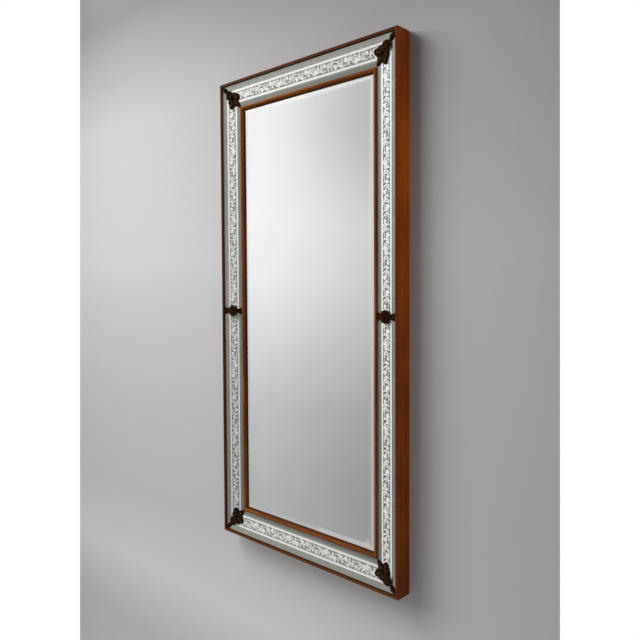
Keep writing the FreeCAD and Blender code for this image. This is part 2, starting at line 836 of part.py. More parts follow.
group("panel_screws", [wood_screw(spot, s.panel_thickness - s.back_recess) for spot in panel_screw_spots])
bracket_screws = sum((*bracket_screw_flat.values(), *bracket_screw_upright.values()), [])
group("bracket_screws", [wood_screw(spot, s.bracket_thickness - s.back_recess) for spot in bracket_screws])
hanger_screws = sum(hanger_screw_spots.values(), [])
group("hanger_screws", [wood_screw(spot, s.hanger_plate_thickness - s.back_recess) for spot in hanger_screws])
group("brace_screws", [wood_screw(spot, -s.counterbore_depth) for spot in brace_screws])


def washer(spot):
    """A round washer on a stud, against the ground frame's back."""
    base = FreeCAD.Vector(spot[0].value, -s.back_recess.value, spot[1].value)
    thickness = s.washer_thickness.value
    disc = Part.makeCylinder(s.washer_radius.value, thickness, base, backward)
    return disc.cut(Part.makeCylinder(stud_hole_radius.value, thickness, base, backward))


def nut(spot):
    """A six-sided nut on a stud, against its washer."""
    base = FreeCAD.Vector(spot[0].value, (s.washer_thickness - s.back_recess).value, spot[1].value)
    radius = s.nut_across_flats.value / math.sqrt(3)
    turns = [math.tau * i / 6 for i in range(6)]
    hexagon = [base + FreeCAD.Vector(radius * math.cos(t), 0, radius * math.sin(t)) for t in turns]
    prism = Part.Face(Part.makePolygon(hexagon + hexagon[:1])).extrude(backward * s.nut_height.value)
    bore_radius = (s.stud_radius + s.nut_thread_gap).value
    return prism.cut(Part.makeCylinder(bore_radius, s.nut_height.value, base, backward))


all_stud_spots = [*corner_stud_spots.values(), *side_stud_spots.values()]
group("stud_washers", [washer(spot) for spot in all_stud_spots])
group("stud_nuts", [nut(spot) for spot in all_stud_spots])


def glazing_block(x, z, upright):
    """A small wooden block between the card's edge and the back panel, against the ground frame."""
    length, width = s.block_length.value, s.block_width.value
    size_x, size_z = (width, length) if upright else (length, width)
    base = FreeCAD.Vector(x - size_x / 2, (card_back - s.frame_depth).value, z - size_z / 2)
    return Part.makeBox(size_x, (ground_back - card_back).value, size_z, base)


block_line = ground_inner + s.block_width / 2
block_end = half_height - s.block_corner_distance
blocks = []
for sx in (LEFT, RIGHT):
    for share in (-1, -1 / 3, 1 / 3, 1):
        blocks.append(glazing_block(across(sx, block_line).value, block_end.value * share, True))
    for sz in (BOTTOM, TOP):
        x = across(sx, s.block_corner_distance).value
        blocks.append(glazing_block(x, upward(sz, block_line).value, False))
group("glazing_blocks", blocks)


# Hangers: a plate with a rolled loop, and a ring that turns in it

ring_line = s.hanger_plate_thickness + s.ring_plate_gap + s.ring_wire_radius - s.back_recess
loop_radius = s.ring_wire_radius + s.ring_bore_gap
loop_width = (s.ring_half_width - s.ring_wire_radius - s.ring_side_gap) * 2
turned_x = (FreeCAD.Vector(0, 1, 0), 90)
turned_y = (FreeCAD.Vector(1, 0, 0), -90)


def cylinder(label, radius, height, x, y, z, turned=None):
    rod = new_part("Part::Cylinder", label)
    bind(rod, "Radius", radius)
    bind(rod, "Height", height)
    place(rod, x, y, z, *(turned or (None, None)))
    return rod


for side, sign in SIDES.items():
    x = across(sign, s.hanger_inset)
    back = -s.back_recess
    strip = new_part("Part::Box", f"hanger_strip_{side}")
    bind(strip, "Length", s.hanger_plate_width)
    bind(strip, "Width", s.hanger_plate_thickness)
    bind(strip, "Height", s.hanger_plate_length)
    place(strip, x - s.hanger_plate_width / 2, back, ring_height - s.hanger_plate_length)
    loop_outside = loop_radius + s.hanger_plate_thickness
    loop_start = x - loop_width / 2
    loop = cylinder(f"hanger_loop_{side}", loop_outside, loop_width, loop_start, ring_line, ring_height,
                    turned_x)
    body = new_part("Part::Fuse", f"hanger_body_{side}")
    body.Base, body.Tool = strip, loop
    bore_start = x - loop_width
    bore_length = loop_width * 2
    bore = cylinder(f"hanger_bore_{side}", loop_radius, bore_length, bore_start, ring_line, ring_height,
                    turned_x)
    cutters = [bore]
    for number, (spot_x, spot_z) in enumerate(hanger_screw_spots[side], start=1):
        cutters.append(cylinder(f"hanger_hole_{side}_{number}", screw_hole_radius, s.back_recess, spot_x,
                                back - s.overrun, spot_z, turned_y))
    tools = new_part("Part::MultiFuse", f"hanger_cutters_{side}")
    tools.Shapes = cutters
    plate = new_part("Part::Cut", f"hanger_plate_{side}", keep=True)
    plate.Base, plate.Tool = body, tools

    pieces = [cylinder(f"ring_bar_{side}", s.ring_wire_radius, s.ring_half_width * 2, x - s.ring_half_width,
                       ring_line, ring_height, turned_x)]
    for end in (LEFT, RIGHT):
        tag = f"{side}_{'left' if end == LEFT else 'right'}"
        leg_x = x + s.ring_half_width * end
        pieces.append(cylinder(f"ring_leg_{tag}", s.ring_wire_radius, s.ring_leg, leg_x, ring_line,
                               ring_height - s.ring_leg))
        knuckle = new_part("Part::Sphere", f"ring_knuckle_{tag}")
        bind(knuckle, "Radius", s.ring_wire_radius)
        place(knuckle, leg_x, ring_line, ring_height)
        pieces.append(knuckle)
    bow = new_part("Part::Torus", f"ring_bow_{side}")
    bind(bow, "Radius1", s.ring_half_width)
    bind(bow, "Radius2", s.ring_wire_radius)
    bow.Angle3 = 180
    place(bow, x, ring_line, ring_height - s.ring_leg, *turned_y)
    pieces.append(bow)
    ring = new_part("Part::MultiFuse", f"hanger_ring_{side}", keep=True)
    ring.Shapes = pieces

doc.recompute()


# Check every object, then write one file for each sub-part

for thing in doc.Objects:
    if "Invalid" in thing.State or "Error" in thing.State:
        raise RuntimeError(f"{thing.Label} is not computed: {thing.State}")
for thing in sub_parts:
    if thing.Shape.isNull() or not thing.Shape.isValid() or not thing.Shape.Solids:
        raise RuntimeError(f"{thing.Label} has no valid solid")

os.makedirs("parts", exist_ok=True)
for thing in sub_parts:
    thing.Shape.exportStep(os.path.join("parts", f"{thing.Label}.step"))
print(f"{len(sub_parts)} sub-parts written")
ring_axis = (across(RIGHT, s.hanger_inset), ring_line, ring_height)
print("right ring's axis at", [round(size.value, 3) for size in ring_axis])
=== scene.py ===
"""The looks of a tall wall mirror: a stained wooden case around a sloping border of silvered glass
strips with wheel-cut lines and an etched leaf scroll, cast bronze leaves, flowers, straps and
rosettes that pin the strips, and a bevelled plate in a varnished moulding."""
import math
import random

import bmesh
import bpy
from mathutils import Matrix, Vector


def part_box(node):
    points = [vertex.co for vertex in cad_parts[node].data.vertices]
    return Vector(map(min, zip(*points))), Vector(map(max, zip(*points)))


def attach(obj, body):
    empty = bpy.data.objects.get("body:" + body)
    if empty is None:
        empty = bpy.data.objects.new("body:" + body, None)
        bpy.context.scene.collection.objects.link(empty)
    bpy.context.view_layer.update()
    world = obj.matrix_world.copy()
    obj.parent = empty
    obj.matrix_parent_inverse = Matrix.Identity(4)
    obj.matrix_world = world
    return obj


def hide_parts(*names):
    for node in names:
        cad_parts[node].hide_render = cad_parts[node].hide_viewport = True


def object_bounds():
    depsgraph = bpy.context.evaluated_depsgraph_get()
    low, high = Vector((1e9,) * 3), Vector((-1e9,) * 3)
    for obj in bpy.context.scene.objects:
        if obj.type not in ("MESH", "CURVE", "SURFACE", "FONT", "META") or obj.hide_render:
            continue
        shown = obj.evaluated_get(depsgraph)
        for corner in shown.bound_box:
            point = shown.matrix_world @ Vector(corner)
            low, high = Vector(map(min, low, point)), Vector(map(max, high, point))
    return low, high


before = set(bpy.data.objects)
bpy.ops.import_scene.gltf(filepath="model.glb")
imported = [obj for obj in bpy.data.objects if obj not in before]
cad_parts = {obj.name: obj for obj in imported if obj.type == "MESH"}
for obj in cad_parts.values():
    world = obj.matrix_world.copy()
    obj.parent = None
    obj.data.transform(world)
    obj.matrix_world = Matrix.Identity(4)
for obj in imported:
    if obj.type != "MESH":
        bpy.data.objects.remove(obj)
cad_low, cad_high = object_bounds()

MM = 0.001

# Measures of the frame: those of its glass strips, and the rest read from its own pieces. An inset
# is counted from the frame's outer edge.

STRIP_THICKNESS = 4 * MM
LINE_INSETS = (33 * MM, 71 * MM)
LINE_HALF = 3.5 * MM

strip_low, strip_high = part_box("glass_strip_right_upper")
moulding_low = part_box("inner_moulding_right")[0]
case_x, case_z = strip_high.x, strip_high.z
case_wall = cad_high.x - case_x
outer_x, outer_z = case_x + case_wall, case_z + case_wall
border = strip_high.x - strip_low.x
strip_end = case_wall + border
outer_face = strip_low.y
inner_face = strip_high.y - STRIP_THICKNESS
slope = (inner_face - outer_face) / border
sight_x = moulding_low.x
sight_z = outer_z - (cad_high.x - sight_x)
band_inset = sum(LINE_INSETS) / 2


# Materials

ABSOLUTE, ADD, MULTIPLY = ({"operation": kind} for kind in ("ABSOLUTE", "ADD", "MULTIPLY"))
SUBTRACT, MINIMUM, MAXIMUM = ({"operation": kind} for kind in ("SUBTRACT", "MINIMUM", "MAXIMUM"))
NUMBERS = {"data_type": "FLOAT"}
COLOURS = {"data_type": "RGBA"}
DARKENED = {"data_type": "RGBA", "blend_type": "MULTIPLY"}


def linear(code):
    """An sRGB hex colour as the linear values that a shader takes."""
    parts = [int(code[i:i + 2], 16) / 255 for i in (1, 3, 5)]
    return [c / 12.92 if c <= 0.04045 else ((c + 0.055) / 1.055) ** 2.4 for c in parts] + [1.0]


def spaced(size):
    """The scale of a noise whose spots are this many millimetres across."""
    return 1 / (size * MM)


def add(tree, kind, settings=None, **inputs):
    """Add a node with its settings and its inputs, each a value, a socket or a node, which stands
    for its first socket in use. An input is given by its name, with _ for a space, or as _0, _1 and
    so on where several in use share a name. A ramp's stops give each place's colour or grey."""
    node = tree.nodes.new(kind)
    for name, value in (settings or {}).items():
        if name != "stops":
            setattr(node, name, value)
            continue
        ramp = node.color_ramp
        while len(ramp.elements) < len(value):
            ramp.elements.new(1)
        for element, (place, colour) in zip(ramp.elements, value.items()):
            element.position = place
            grey = (colour, colour, colour, 1)
            element.color = linear(colour) if isinstance(colour, str) else grey
    for name, value in inputs.items():
        if name[1:].isdigit():
            socket = node.inputs[int(name[1:])]
        else:
            spoken = name.replace("_", " ")
            socket = next(s for s in node.inputs if s.enabled and s.name == spoken)
        if isinstance(value, bpy.types.Node):
            value = next(s for s in value.outputs if s.enabled)
        if isinstance(value, bpy.types.NodeSocket):
            tree.links.new(value, socket)
        else:
            socket.default_value = value
    return node


def new_material(name):
    """An empty node material, its tree and the place of each point on the object."""
    material = bpy.data.materials.new(name)
    material.use_nodes = True
    tree = material.node_tree
    tree.nodes.clear()
    return material, tree, add(tree, "ShaderNodeTexCoord").outputs["Object"]


def surface(tree, **inputs):
    """The surface shader of a material and what reaches it."""
    add(tree, "ShaderNodeOutputMaterial", Surface=add(tree, "ShaderNodeBsdfPrincipled", **inputs))


def depth_inside(tree, place, half_x, half_z):
    """How far a point lies inside a rectangle about the frame's middle."""
    parts = add(tree, "ShaderNodeSeparateXYZ", Vector=place)
    depths = []
    for axis, half in (("X", half_x), ("Z", half_z)):
        from_middle = add(tree, "ShaderNodeMath", ABSOLUTE, _0=parts.outputs[axis])
        depths.append(add(tree, "ShaderNodeMath", SUBTRACT, _0=half, _1=from_middle))
    return add(tree, "ShaderNodeMath", MINIMUM, _0=depths[0], _1=depths[1])


def stripe(tree, inset, middle, half, soft):
    """One where an inset lies within half of a middle and zero elsewhere, with soft edges."""
    beside = add(tree, "ShaderNodeMath", SUBTRACT, _0=inset, _1=middle)
    away = add(tree, "ShaderNodeMath", ABSOLUTE, _0=beside)
    return add(tree, "ShaderNodeMapRange", Value=away, From_Min=half + soft, From_Max=half - soft)


GRAIN_STRETCH = {"x": (0.035, 1, 1), "z": (1, 1, 0.035)}


def wood(name, along, tones, varnish, gloss=0.08, pores=0.5, lip=None, inside=None, painted_shade=None):
    """Sawn and planed wood: growth streaks 4 mm wide run along the board, with pores of a third of
    a millimetre drawn as 0.8 mm dashes so that they show. Varnish is the weight of its coat. Lip is
    the colour of the front edge, and inside that of the face over the glass, which is painted shade.
    The last gives the axis across the board and where the board ends on it: there the last
    millimetres before the glass are darkened with painted shade."""
    material, tree, place = new_material(name)
    parts = add(tree, "ShaderNodeSeparateXYZ", Vector=place)
    facing = add(tree, "ShaderNodeNewGeometry").outputs["Normal"]
    normal = add(tree, "ShaderNodeSeparateXYZ", Vector=facing)
    board = add(tree, "ShaderNodeMapping", Vector=place, Scale=GRAIN_STRETCH[along])
    streaks = add(tree, "ShaderNodeTexNoise", Vector=board, Scale=spaced(3.846), Detail=5,
                  Roughness=0.6, Distortion=0.4)
    figure = add(tree, "ShaderNodeTexNoise", Vector=board, Scale=spaced(21.74), Detail=3,
                 Roughness=0.5, Distortion=1.2)
    cloud = add(tree, "ShaderNodeTexNoise", Vector=place, Scale=spaced(200), Detail=2)
    dashes = add(tree, "ShaderNodeTexNoise", Vector=board, Scale=spaced(0.7692), Detail=2,
                 Roughness=0.5)
    pore = add(tree, "ShaderNodeMapRange", Value=dashes, From_Min=0.60, From_Max=0.68)
    grain = add(tree, "ShaderNodeMix", NUMBERS, Factor=0.45, A=streaks, B=figure)
    shade = add(tree, "ShaderNodeMix", NUMBERS, Factor=0.3, A=grain, B=cloud)
    colour = add(tree, "ShaderNodeValToRGB", {"stops": dict(zip((0.34, 0.5, 0.66), tones))},
                 Fac=shade)
    if lip:
        # The narrow front edge took the stain darker than the wide face.
        front = add(tree, "ShaderNodeMapRange", Value=normal.outputs["Y"], From_Min=-0.4,
                    From_Max=-0.8)
        uneven = add(tree, "ShaderNodeMapRange", Value=shade, From_Min=0.3, From_Max=0.7,
                     To_Min=0.45, To_Max=1.25)
        edge = add(tree, "ShaderNodeMix", DARKENED, Factor=0.55, A=linear(lip), B=uneven)
        colour = add(tree, "ShaderNodeMix", COLOURS, Factor=front, A=colour, B=edge)
    if inside:
        # The face of a level board that stands over the glass is painted dark as shade. Only there do
        # the height and the way that the face looks have opposite signs.
        inwards = add(tree, "ShaderNodeMath", MULTIPLY, _0=normal.outputs["Z"],
                      _1=parts.outputs["Z"])
        shade_over_glass = add(tree, "ShaderNodeMapRange", Value=inwards, From_Min=-0.3, From_Max=-0.6)
        colour = add(tree, "ShaderNodeMix", COLOURS, Factor=shade_over_glass, A=colour, B=linear(inside))
    if painted_shade:
        # Painted shade darkens the last millimetres before the glass, where the moulding's slope lies
        # in shadow.
        axis, end = painted_shade
        away = add(tree, "ShaderNodeMath", ABSOLUTE, _0=parts.outputs[axis])
        shaded_edge = add(tree, "ShaderNodeMapRange", Value=away, From_Min=end + 6.2 * MM,
                    From_Max=end + 1.0 * MM, To_Max=0.9)
        colour = add(tree, "ShaderNodeMix", DARKENED, Factor=shaded_edge, A=colour, B=linear("#80604c"))
    filled = add(tree, "ShaderNodeMath", MULTIPLY, _0=pore, _1=pores)
    pored = add(tree, "ShaderNodeMix", DARKENED, Factor=filled, A=colour, B=linear("#6a5a50"))
    rough = add(tree, "ShaderNodeMapRange", Value=grain, From_Min=0.3, From_Max=0.7, To_Min=0.55,
                To_Max=0.38)
    sunk = add(tree, "ShaderNodeMath", ADD, _0=pore, _1=streaks)
    bump = add(tree, "ShaderNodeBump", {"invert": True}, Height=sunk, Strength=0.25,
               Distance=0.25 * MM)
    surface(tree, Base_Color=pored, Roughness=rough, Normal=bump, Coat_Weight=varnish,
            Coat_Roughness=0.22, Specular_IOR_Level=gloss)
    return material


def strip_glass():
    """Old silvered glass, toned grey and dulled, so that it reflects softly. Its wheel-cut lines
    are frosted white and its ground edges are dull. A narrow black line along the case's edge is
    painted shade, the shadow in the gap under the case. The silver is duller and greyer over its
    last 12 to 18 mm beside the moulding."""
    material, tree, place = new_material("toned_silvered_glass")
    inset = depth_inside(tree, place, outer_x, outer_z)
    mottle = add(tree, "ShaderNodeTexNoise", Vector=place, Scale=spaced(25), Detail=3,
                 Roughness=0.5)
    tone = add(tree, "ShaderNodeValToRGB", {"stops": {0.3: "#a6a79f", 0.7: "#babbb3"}}, Fac=mottle)
    cuts = [stripe(tree, inset, middle, LINE_HALF, 0.2 * MM) for middle in LINE_INSETS]
    lines = add(tree, "ShaderNodeMath", MAXIMUM, _0=cuts[0], _1=cuts[1])
    between = stripe(tree, inset, band_inset, 15.7 * MM, 0.3 * MM)
    # What lies along the two edges of a strip: where each begins, and where it is full
    shadow_line, edge_out, edge_in, dulled = (
        add(tree, "ShaderNodeMapRange", Value=inset, From_Min=begins, From_Max=full)
        for begins, full in (
            (case_wall + 1.0 * MM, case_wall + 0.5 * MM),
            (case_wall + 2.4 * MM, case_wall + 1.8 * MM),
            (strip_end - 2.0 * MM, strip_end - 1.2 * MM),
            (strip_end - 18.0 * MM, strip_end - 12.0 * MM),
        ))
    edges = add(tree, "ShaderNodeMath", MAXIMUM, _0=edge_out, _1=edge_in)
    frosted = add(tree, "ShaderNodeMath", MAXIMUM, _0=lines, _1=edges)
    ground = add(tree, "ShaderNodeMix", COLOURS, Factor=dulled, A=tone, B=linear("#898a81"))
    deeper = add(tree, "ShaderNodeMix", DARKENED, Factor=between, A=ground, B=linear("#e0e0dd"))
    edged = add(tree, "ShaderNodeMix", COLOURS, Factor=edges, A=deeper, B=linear("#b8a98f"))
    lined = add(tree, "ShaderNodeMix", COLOURS, Factor=lines, A=edged, B=linear("#fcfcfa"))
    # Painted shade: the strip's outermost millimetre is near black, as the shadow under the case's
    # lip.
    colour = add(tree, "ShaderNodeMix", COLOURS, Factor=shadow_line, A=lined, B=linear("#0a0807"))
    haze = add(tree, "ShaderNodeMapRange", Value=dulled, To_Min=0.7, To_Max=0.15)
    silver = add(tree, "ShaderNodeMix", NUMBERS, Factor=frosted, A=haze, B=0.0)
    metal = add(tree, "ShaderNodeMath", MAXIMUM, _0=silver, _1=shadow_line)
    rough = add(tree, "ShaderNodeMix", NUMBERS, Factor=frosted, A=0.29, B=0.6)
    bump = add(tree, "ShaderNodeBump", Height=mottle, Strength=0.04, Distance=0.5 * MM)
    surface(tree, Base_Color=colour, Metallic=metal, Roughness=rough, Normal=bump)
    return material


def etched_glass():
    """Acid-etched glass: a fine matt white, a little uneven where the acid bit less."""
    material, tree, place = new_material("acid_etched_glass")
    bite = add(tree, "ShaderNodeTexNoise", Vector=place, Scale=spaced(2.381), Detail=4,
               Roughness=0.7)
    colour = add(tree, "ShaderNodeValToRGB",
                 {"stops": {0.3: "#dfe1dc", 0.5: "#f5f6f3", 0.7: "#fcfdfb"}}, Fac=bite)
    rough = add(tree, "ShaderNodeMapRange", Value=bite, To_Min=0.45, To_Max=0.7)
    bump = add(tree, "ShaderNodeBump", Height=bite, Strength=0.2, Distance=0.2 * MM)
    surface(tree, Base_Color=colour, Roughness=rough, Normal=bump)
    return material


def plate_glass():
    """Clear float glass with a silver back: a clean mirror with the faint cool tone of the glass,
    and a painted highlight, a white line a little way in from the moulding where the bevel glints."""
    material, tree, place = new_material("clear_silvered_glass")
    margin = depth_inside(tree, place, sight_x, sight_z)
    # Painted highlight: a white, less metallic line stands for the glint along the bevel's edge.
    rim = stripe(tree, margin, 8.1 * MM, 2.4 * MM, 0.3 * MM)
    ripple = add(tree, "ShaderNodeTexNoise", Vector=place, Scale=spaced(142.86), Detail=1)
    clear = add(tree, "ShaderNodeValToRGB", {"stops": {0.3: "#f3f6f5", 0.7: "#f7f9f8"}}, Fac=ripple)
    colour = add(tree, "ShaderNodeMix", COLOURS, Factor=rim, A=clear, B=linear("#fbf6f2"))
    metal = add(tree, "ShaderNodeMapRange", Value=rim, To_Min=1.0, To_Max=0.3)
    rough = add(tree, "ShaderNodeMapRange", Value=rim, To_Min=0.02, To_Max=0.4)
    bump = add(tree, "ShaderNodeBump", Height=ripple, Strength=0.02, Distance=0.5 * MM)
    surface(tree, Base_Color=colour, Metallic=metal, Roughness=rough, Normal=bump)
    return material


def cast_bronze():
    """Sand-cast bronze under a dark brown patina, black in the hollows and rubbed warmer and smoother
    on the raised parts, as the pieces mark with their rub and shade attribute. The attribute also
    paints shade into the hollows and light onto the raised parts, deepening the relief."""
    material, tree, place = new_material("patinated_cast_bronze")
    rub = add(tree, "ShaderNodeAttribute", {"attribute_name": "rub"}).outputs["Fac"]
    blotch = add(tree, "ShaderNodeTexNoise", Vector=place, Scale=spaced(5.556), Detail=4,
                 Roughness=0.65)
    sand = add(tree, "ShaderNodeTexNoise", Vector=place, Scale=spaced(0.9091), Detail=3,
               Roughness=0.6)
    patchy = add(tree, "ShaderNodeMapRange", Value=blotch, From_Min=0.3, From_Max=0.7,
                 To_Min=-0.16, To_Max=0.16)
    wear_and_shade = add(tree, "ShaderNodeMath", ADD, _0=rub, _1=patchy)
    colour = add(tree, "ShaderNodeValToRGB", {"stops": {
        0.05: "#060201", 0.3: "#180a03", 0.55: "#492c13", 0.8: "#744721", 1.0: "#a37239",
    }}, Fac=wear_and_shade)
    rough = add(tree, "ShaderNodeMapRange", Value=wear_and_shade, To_Min=0.6, To_Max=0.36)
    bump = add(tree, "ShaderNodeBump", Height=sand, Strength=0.35, Distance=0.3 * MM)
    surface(tree, Base_Color=colour, Roughness=rough, Normal=bump, Metallic=0.5,
            Specular_IOR_Level=0.15)
    return material


def plain_metal(name, dull, bright, smooth):
    """Rolled or turned metal with fine scratches of about 1 mm and a few dull spots."""
    material, tree, place = new_material(name)
    drawn = add(tree, "ShaderNodeMapping", Vector=place, Scale=(1, 1, 0.1))
    scratch = add(tree, "ShaderNodeTexNoise", Vector=drawn, Scale=spaced(1.111), Detail=3)
    spots = add(tree, "ShaderNodeTexNoise", Vector=place, Scale=spaced(8.333), Detail=4,
                Roughness=0.6)
    colour = add(tree, "ShaderNodeValToRGB", {"stops": {0.35: dull, 0.6: bright}}, Fac=spots)
    rough = add(tree, "ShaderNodeMapRange", Value=scratch, From_Min=0.3, From_Max=0.7,
                To_Min=smooth, To_Max=smooth + 0.15)
    bump = add(tree, "ShaderNodeBump", Height=scratch, Strength=0.1, Distance=0.1 * MM)
    surface(tree, Base_Color=colour, Roughness=rough, Normal=bump, Metallic=1.0)
    return material


def straw_board():
    """Pressed straw board: dull, with fibres a few millimetres long."""
    material, tree, place = new_material("straw_board")
    fibre = add(tree, "ShaderNodeTexNoise", Vector=place, Scale=spaced(2), Detail=5, Roughness=0.7,
                Distortion=2)
    colour = add(tree, "ShaderNodeValToRGB", {"stops": {0.3: "#8d7a5e", 0.7: "#b09b7b"}}, Fac=fibre)
    bump = add(tree, "ShaderNodeBump", Height=fibre, Strength=0.3, Distance=0.2 * MM)
    surface(tree, Base_Color=colour, Normal=bump, Roughness=0.85)
    return material


# Each wood's tones, from its dark growth to its light
STAINED_BEECH = ("#582502", "#713203", "#894304")
WALNUT_UPRIGHT = ("#653008", "#8b490e", "#aa671e")
WALNUT_LEVEL = ("#592a07", "#7b400c", "#985a19")
SPRUCE = ("#9c7a4e", "#c09a68", "#d4b384")
PLYWOOD = ("#6b4b2d", "#866240", "#9a7650")

# For each board of the case: its grain's way, its front edge's colour and that of its inside, a
# painted shade
CASE_BOARDS = {
    "case_top": ("x", "#4e2a16", "#220c04"),
    "case_left": ("z", "#4c2712", None),
    "case_right": ("z", "#6c3212", None),
    "case_bottom": ("x", "#72401f", "#2a1206"),
}

walnut_upright = wood("varnished_walnut_upright", "z", WALNUT_UPRIGHT, 0.15, gloss=0.15,
                      painted_shade=("X", sight_x))
walnut_level = wood("varnished_walnut_level", "x", WALNUT_LEVEL, 0.15, gloss=0.15,
                    painted_shade=("Z", sight_z))
spruce_upright = wood("raw_spruce_upright", "z", SPRUCE, 0.0, pores=0.2)
spruce_level = wood("raw_spruce_level", "x", SPRUCE, 0.0, pores=0.2)
bronze = cast_bronze()

# The finishes of the solids by how their names begin, of which the first that fits counts. Where
# two are given, the second is that of the level pieces.
finishes = {
    "inner_moulding": (walnut_upright, walnut_level),
    "ground": (spruce_upright, spruce_level),
    "cross_brace": (spruce_level,),
    "glazing_blocks": (spruce_upright,),
    "back_panel": (wood("thin_plywood", "z", PLYWOOD, 0.05, pores=0.6),),
    "backing_card": (straw_board(),),
    "mirror_plate": (plate_glass(),),
    "glass_strip": (strip_glass(),),
    "hanger": (plain_metal("dulled_brass", "#c49c50", "#deb96a", 0.28),),
    ("corner_bracket", "stud_"): (plain_metal("zinc_plated_steel", "#b2b3b5", "#d0d1d2", 0.35),),
    ("bracket_screws", "panel_screws", "brace_screws"): (
        plain_metal("turned_screw_steel", "#aaa79f", "#cdcac2", 0.3),),
    ("corner_", "side_"): (bronze,),
}
for node, (along, lip, inside) in CASE_BOARDS.items():
    finishes[node] = (wood(f"stained_beech_{node[5:]}", along, STAINED_BEECH, 0.05, lip=lip,
                           inside=inside),)

for node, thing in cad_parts.items():
    fitting = next(finish for start, finish in finishes.items() if node.startswith(start))
    level = {"top", "bottom"} & set(node.split("_"))
    thing.data.materials.clear()
    thing.data.materials.append(fitting[-1] if level else fitting[0])


# Pieces that repeat

def repeat_tree():
    """Copies of a shape set out by a step, and turned about the wall's normal by an even angle."""
    tree = bpy.data.node_groups.new("set_out_copies", "GeometryNodeTree")
    sockets = {"Shape": "Geometry", "Count": "Int", "First": "Vector", "Step": "Vector",
               "Turn": "Float", "Finish": "Material"}
    for name, kind in sockets.items():
        tree.interface.new_socket(name, in_out="INPUT", socket_type=f"NodeSocket{kind}")
    tree.interface.new_socket("Copies", in_out="OUTPUT", socket_type="NodeSocketGeometry")
    given = add(tree, "NodeGroupInput").outputs
    row = add(tree, "GeometryNodeMeshLine", {"mode": "OFFSET"}, Count=given["Count"],
              Start_Location=given["First"], Offset=given["Step"])
    angle = add(tree, "ShaderNodeMath", MULTIPLY, _0=add(tree, "GeometryNodeInputIndex"),
                _1=given["Turn"])
    copies = add(tree, "GeometryNodeInstanceOnPoints", Points=row, Instance=given["Shape"],
                 Rotation=add(tree, "ShaderNodeCombineXYZ", Y=angle))
    real = add(tree, "GeometryNodeRealizeInstances", Geometry=copies)
    done = add(tree, "GeometryNodeSetMaterial", Geometry=real, Material=given["Finish"])
    add(tree, "NodeGroupOutput", Copies=done)
    return tree


copies_tree = repeat_tree()


def repeated(mesh, finish, count, first=(0.0, 0.0, 0.0), step=(0.0, 0.0, 0.0), turn=0.0):
    """The plain mesh of a shape's copies."""
    thing = bpy.data.objects.new("shape_to_copy", mesh)
    bpy.context.scene.collection.objects.link(thing)
    modifier = thing.modifiers.new("copies", "NODES")
    modifier.node_group = copies_tree
    given = {"Count": count, "First": [float(v) for v in first], "Step": [float(v) for v in step],
             "Turn": float(turn), "Finish": finish}
    for item in copies_tree.interface.items_tree:
        if item.in_out == "INPUT" and item.name in given:
            modifier[item.identifier] = given[item.name]
    bpy.context.view_layer.update()
    evaluated = thing.evaluated_get(bpy.context.evaluated_depsgraph_get())
    result = bpy.data.meshes.new_from_object(evaluated)
    bpy.data.objects.remove(thing)
    return result


def new_piece(name, mesh, finish, smooth=True):
    """A finished piece of the scene that rides on the frame."""
    mesh.name = name
    mesh.materials.clear()
    mesh.materials.append(finish)
    for face in mesh.polygons:
        face.use_smooth = smooth
    thing = bpy.data.objects.new(name, mesh)
    bpy.context.scene.collection.objects.link(thing)
    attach(thing, "frame")
    return thing


def joined(parts):
    """One mesh from several meshes, each with its turn."""
    whole = bmesh.new()
    for mesh, turn in parts:
        copy = mesh.copy()
        copy.transform(turn)
        whole.from_mesh(copy)
        bpy.data.meshes.remove(copy)
    mesh = bpy.data.meshes.new("joined")
    whole.to_mesh(mesh)
    whole.free()
    return mesh


# Etched scroll: a wavy stem, with long leaves and a bold blossom in each of its hollows. It is
# drawn flat in millimetres, x along the band and y across it.

HOLLOW = 43.5
STEM_SWING = 9.0
STEM_WIDTH = 2.3
STALK_WIDTH, STALK_RUN = 1.2, 5
BLOSSOM_PLACE = (5.4, 4.2)
BLOSSOM_RADIUS = 7.8
BAND_HALF = 15.3
BAND_SPREAD, BAND_SHIFT = 1.13, 0.2
SCROLL_SEED = 5
# For each leaf: its place along the stem, angle, length, width, bend, lobes and clear midrib
SCROLL_LEAVES = (
    (-17.5, 66, 22.0, 8.4, -34, 3, 0.6),
    (-9.5, 74, 17.0, 4.6, -52, 2, 0.0),
    (16.0, 98, 19.0, 9.2, -66, 2, 0.6),
    (21.0, 70, 13.0, 3.6, 10, 1, 0.0),
    (-16.5, -72, 12.0, 6.6, 40, 2, 0.0),
    (-7.0, -52, 8.5, 4.4, 30, 1, 0.0),
    (15.5, -66, 11.0, 6.8, 30, 2, 0.0),
)
# Each shape lies a hair in front of the last, and each second hollow a little more, so that no two
# share a plane. The whole scroll stands off the glass by the film.
SHAPE_LIFT, HOLLOW_LIFT, FILM = 0.0012, 0.04, 0.12
# How many tiles a level and an upright strip has, and how many hollows each of them has
LEVEL_TILES, UPRIGHT_TILES = (4, 4), (3, 6)


def lobed(share, lobes):
    """How full a shape with this many lobes is, at a share of its way."""
    return 0.62 + 0.38 * abs(math.sin(lobes * math.pi * share))


